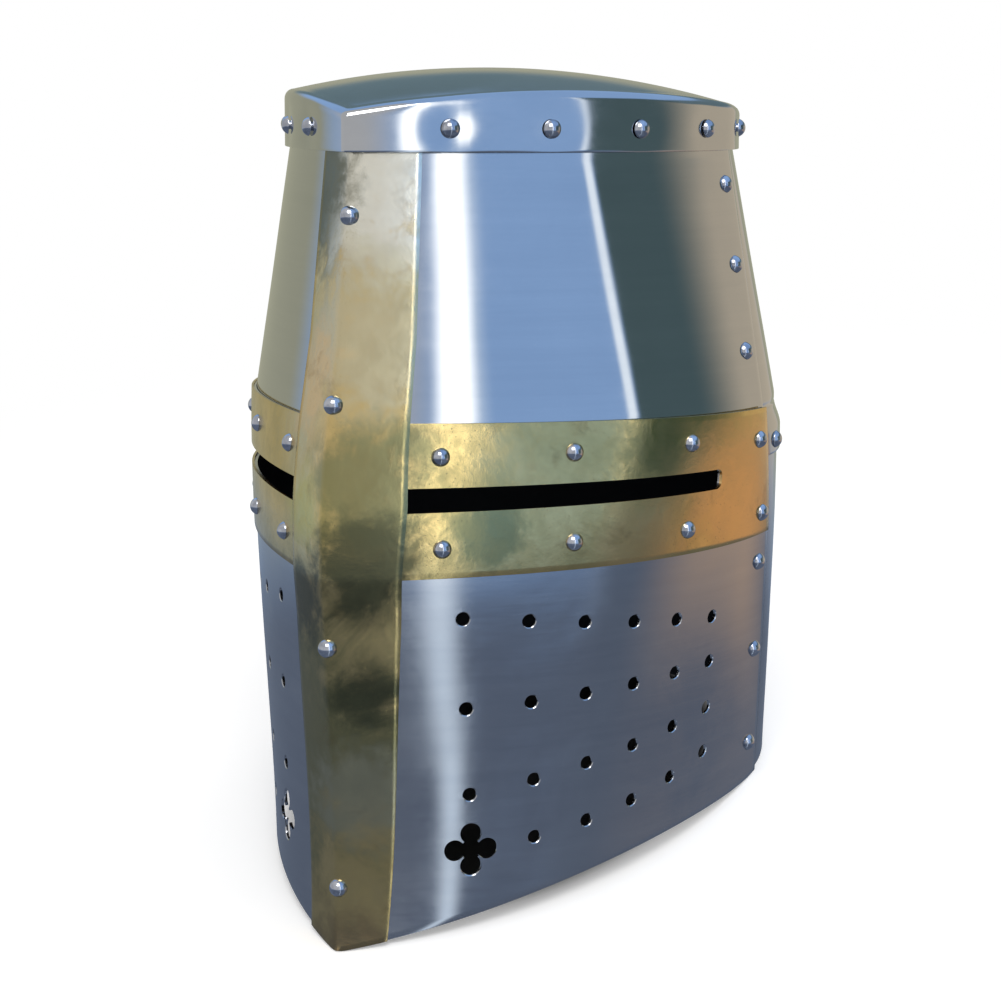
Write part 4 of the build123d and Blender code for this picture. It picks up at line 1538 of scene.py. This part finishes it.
@dataclass(frozen=True)
class Surround:
    """A large shell round the set that only the metal mirrors: a clear day over a field with trees."""

    radius: float = 3.0
    centre_height: float = 150 * MM
    peak: float = 2.6
    sky: Point = (0.35, 0.55, 0.9)
    haze: Sight = Sight((-100, 43), (-12, 90), (0.6, 0.6, 0.6), (8, 8))
    hedge: Sight = Sight((-190, -104), (-12, 20), (0.4, 0.4, 0.3), (12, 10))
    wood: Sight = Sight((82, 150), (-12, 30), (0.09, 0.14, 0.15), (2, 8))
    meadow: Sight = Sight((122, 190), (-12, 18), (0.6, 0.52, 0.4), (36, 12))
    hill: Sight = Sight((126, 190), (16, 33), (0.15, 0.22, 0.25), (10, 6))
    far_hill: Sight = Sight((-190, -130), (16, 33), (0.15, 0.22, 0.25), (10, 6))
    ground: Sight = Sight((-190, 190), (-90, -12), (0.14, 0.17, 0.23), (2, 8))
    bank: Sight = Sight((104, 156), (-21, -11), (0.55, 0.4, 0.3), (28, 5))
    doorway: Sight = Sight((46, 51), (-90, 60), (1.0, 1.15, 1.3), (5, 4))
    bright_cloud: Sight = Sight((45.5, 50), (-8, 60), (2.5, 2.5, 2.5), (3, 6))
    cloud_edge: Sight = Sight((79, 81.5), (-8, 30), (1.3, 1.4, 1.5), (1.5, 6))

    def sights(self) -> tuple[Sight, ...]:
        """All that is seen before the sky, the nearest last."""
        return (
            self.haze, self.hedge, self.wood, self.meadow, self.hill, self.far_hill, self.ground, self.bank,
            self.doorway, self.bright_cloud, self.cloud_edge,
        )

    def window(self, paint: Paint, value: Socket, reach: Range, softness: float) -> Socket:
        """A mask of 1 where a value lies within a reach and 0 elsewhere, with soft borders."""
        low, high = reach
        half = softness / 2
        rise = paint.fade(value, low - half, low + half)
        return paint.math("MULTIPLY", rise, paint.fade(value, high - half, high + half, 1.0, 0.0))

    def tone(self, colour: Point) -> Colour:
        """A colour as the share of the peak that the nodes mix."""
        return (*[value / self.peak for value in colour], 1)

    def finish(self) -> Material:
        """Glow of the sky with all the sights before it."""
        paint = Paint("surround")
        paint.material.cycles.emission_sampling = "NONE"
        direction = paint.vector("NORMALIZE", paint.place)
        parts = paint.add("ShaderNodeSeparateXYZ", {0: direction}).outputs
        turn = paint.math("ARCTAN2", parts["X"], paint.math("MULTIPLY", parts["Y"], -1.0))
        azimuth = paint.math("MULTIPLY", turn, 180 / math.pi)
        elevation = paint.math("MULTIPLY", paint.math("ARCSINE", parts["Z"]), 180 / math.pi)
        colour = self.tone(self.sky)
        for sight in self.sights():
            beside, above = sight.softness
            sideways = self.window(paint, azimuth, sight.azimuth, beside)
            upwards = self.window(paint, elevation, sight.elevation, above)
            colour = paint.mix(paint.math("MULTIPLY", sideways, upwards), colour, self.tone(sight.colour))
        glow = paint.add("ShaderNodeEmission", {"Color": colour, "Strength": self.peak})
        return paint.surfaced(glow.outputs[0])

    def build(self) -> None:
        """Hang the shell."""
        deselect_all()
        bpy.ops.mesh.primitive_uv_sphere_add(
            segments=48, ring_count=24, radius=self.radius, location=(0, 0, self.centre_height)
        )
        piece = bpy.context.object
        piece.name = "surround"
        dress(piece, self.finish())
        piece.visible_camera = False
        piece.visible_diffuse = False
        piece.visible_transmission = False
        piece.visible_shadow = False


@dataclass(frozen=True)
class Floor:
    """A plain pale floor that the helm stands on with its keel's point and its rear edge.

    Its colour is painted dark in an oval under the helm, a painted shade, and it fades to white away from
    it.
    """

    slope: float = 53.3 / 264.5
    keel: float = 137 * MM
    radius: float = 4.0
    pale: Colour = (0.86, 0.86, 0.86, 1)
    # Painted shade: the floor's colour in the oval under the helm.
    dim: Colour = (0.10, 0.10, 0.10, 1)
    white: Colour = (1, 1, 1, 1)
    lift: float = 0.3
    shade_middle: Point = (0, 14 * MM, 0)
    shade_stretch: Point = (1.5, 1.0, 1.0)
    shade_border: Range = (110 * MM, 130 * MM)
    white_border: Range = (0.2, 0.7)

    def finish(self) -> Material:
        """Matt paint that glows a little to the camera alone, painted dark under the helm as painted shade.
        """
        paint = Paint("pale_floor")
        # The oval under the helm is painted dark, a painted shade, and glows to the camera only outside it.
        oval = paint.vector("SUBTRACT", paint.place, self.shade_middle)
        oval = paint.vector("MULTIPLY", oval, self.shade_stretch)
        outside_painted_shade = paint.fade(paint.vector("LENGTH", oval), *self.shade_border)
        lift = paint.math("MULTIPLY", outside_painted_shade, self.lift)
        is_camera = paint.add("ShaderNodeLightPath").outputs["Is Camera Ray"]
        paint.shaded({
            "Base Color": paint.mix(outside_painted_shade, self.dim, self.pale),
            "Roughness": 0.9,
            "Specular IOR Level": 0.1,
            "Emission Color": self.white,
            "Emission Strength": paint.math("MULTIPLY", is_camera, lift),
        })
        glow = paint.add("ShaderNodeEmission", {"Color": self.white, "Strength": 1.0}).outputs[0]
        fade = paint.fade(paint.vector("LENGTH", paint.place), *self.white_border)
        mixed = paint.add("ShaderNodeMixShader", {0: fade, 1: paint.shader.outputs[0], 2: glow})
        return paint.surfaced(mixed.outputs[0])

    def build(self) -> None:
        """Lay the floor."""
        deselect_all()
        bpy.ops.mesh.primitive_circle_add(vertices=96, radius=self.radius, fill_type="NGON")
        floor = bpy.context.object
        floor.name = "floor"
        floor.rotation_euler.x = math.atan(self.slope)
        floor.location = (0, 0, self.keel * self.slope)
        floor.visible_glossy = False
        dress(floor, self.finish())


def towards(azimuth: float, elevation: float) -> Vector:
    """Unit vector from the helm this many degrees round it from the face and above it."""
    turn, rise = math.radians(azimuth), math.radians(elevation)
    return Vector((math.sin(turn) * math.cos(rise), -math.cos(turn) * math.cos(rise), math.sin(rise)))


@dataclass(frozen=True)
class Lamp:
    """A soft square lamp that faces the helm.

    Its azimuth and elevation are in degrees, its size in metres and its power in watts.
    """

    name: str
    azimuth: float
    elevation: float
    size: float
    power: float
    mirrored: bool = False
    distance: float = 1.8

    def hang(self, target: Vector) -> None:
        """Hang the lamp round this place."""
        data = bpy.data.lights.new(self.name, "AREA")
        data.shape = "SQUARE"
        data.size = self.size
        data.energy = self.power
        lamp = new_piece(self.name, data)
        back = towards(self.azimuth, self.elevation)
        lamp.location = target + back * self.distance
        lamp.rotation_mode = "QUATERNION"
        lamp.rotation_quaternion = back.to_track_quat("Z", "Y")
        lamp.visible_camera = False
        lamp.visible_glossy = self.mirrored


@dataclass(frozen=True)
class Studio:
    """White surroundings, soft lamps and the camera."""

    image_size: int = 1001
    focal_pixels: float = 2103.85
    sensor: float = 36.0
    camera_azimuth: float = 27.6
    camera_elevation: float = 10.83
    camera_roll: float = 0.47
    camera_distance: float = 889.03 * MM
    target: Vector = Vector((-1.13 * MM, -3.69 * MM, 152.42 * MM)).freeze()
    fill: float = 0.55
    lamps: tuple[Lamp, ...] = (
        Lamp("key_light", 20, 48, 0.9, 12, mirrored=True),
        Lamp("fill_light", 75, 35, 1.6, 7),
        Lamp("back_light", 190, 50, 1.4, 8),
    )

    def camera(self) -> None:
        """Place the camera at the photograph's angle."""
        back = towards(self.camera_azimuth, self.camera_elevation)
        level = towards(self.camera_azimuth + 90, 0)
        upright = back.cross(level)
        roll = math.radians(self.camera_roll)
        right = level * math.cos(roll) + upright * math.sin(roll)
        up = upright * math.cos(roll) - level * math.sin(roll)
        data = bpy.data.cameras.new("photo_camera")
        data.sensor_width = self.sensor
        data.lens = self.focal_pixels * self.sensor / self.image_size
        data.clip_start, data.clip_end = 10 * MM, 100
        camera = new_piece("photo_camera", data)
        camera.matrix_world = placed(right, up, back, self.target + back * self.camera_distance)
        bpy.context.scene.camera = camera

    def world(self) -> None:
        """White surroundings for the camera and the metal, and a softer fill for everything else."""
        world = bpy.data.worlds.new("studio")
        bpy.context.scene.world = world
        world.use_nodes = True
        shop = NodeShop(world.node_tree)
        path = shop.add("ShaderNodeLightPath").outputs
        seen = shop.math("MAXIMUM", path["Is Camera Ray"], path["Is Glossy Ray"])
        seen = shop.math("MAXIMUM", seen, path["Is Transmission Ray"])
        background = world.node_tree.nodes["Background"]
        shop.feed(background, {"Color": (1, 1, 1, 1), "Strength": shop.spread(seen, self.fill, 1.0)})

    def build(self) -> None:
        """Set up the studio."""
        self.world()
        Floor().build()
        Surround().build()
        for lamp in self.lamps:
            lamp.hang(self.target)
        self.camera()
        bpy.context.scene.view_settings.view_transform = "Standard"


STEELS = (
    SteelFinish(
        "upper_steel", light=(0.59, 0.60, 0.62, 1), dark=(0.53, 0.545, 0.57, 1), roughness=(0.07, 0.11),
        brushing=(60, 60, 1500), line_depth=0.003 * MM, anisotropy=0.8,
    ),
    SteelFinish(
        "lower_steel", light=(0.58, 0.59, 0.61, 1), dark=(0.49, 0.505, 0.54, 1), roughness=(0.12, 0.19),
        brushing=(60, 60, 1300), line_depth=0.010 * MM, anisotropy=0.75,
    ),
    SteelFinish(
        "cap_steel", light=(0.60, 0.61, 0.63, 1), dark=(0.53, 0.545, 0.57, 1), roughness=(0.07, 0.12),
        brushing=(200, 200, 600), line_depth=0.003 * MM, anisotropy=0.0,
    ),
)
RIVET_STEEL = PlainMetal(
    "rivet_steel", light=(0.62, 0.64, 0.70, 1), dark=(0.42, 0.44, 0.50, 1), roughness=(0.12, 0.2),
    wear=Clouds(300.0, 0.35, 0.65),
)
WASHER_METAL = PlainMetal(
    "washer_metal", light=(0.5, 0.5, 0.5, 1), dark=(0.3, 0.3, 0.3, 1), roughness=(0.3, 0.4)
)


def main() -> None:
    """Build the helm's looks, piece by piece."""
    logging.basicConfig(level=logging.INFO, format="%(name)s %(message)s", stream=sys.stdout)
    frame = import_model()
    form = HelmForm()
    effects = Effects(brushed_lines(), cloudy_mottle(), fine_pits())
    upper_steel, lower_steel, cap_steel = (steel.make(effects) for steel in STEELS)
    Plates(form).build(upper_steel, lower_steel)
    CrownCap(form).build(cap_steel)
    BrassCross(form).build(BrassFinish().make(effects))
    RivetRows(frame).build(RIVET_STEEL.make(effects))
    Liner(frame).build(LeatherFinish().make(effects), WASHER_METAL.make(effects))
    Studio().build()


if __name__ == "__main__":
    main()
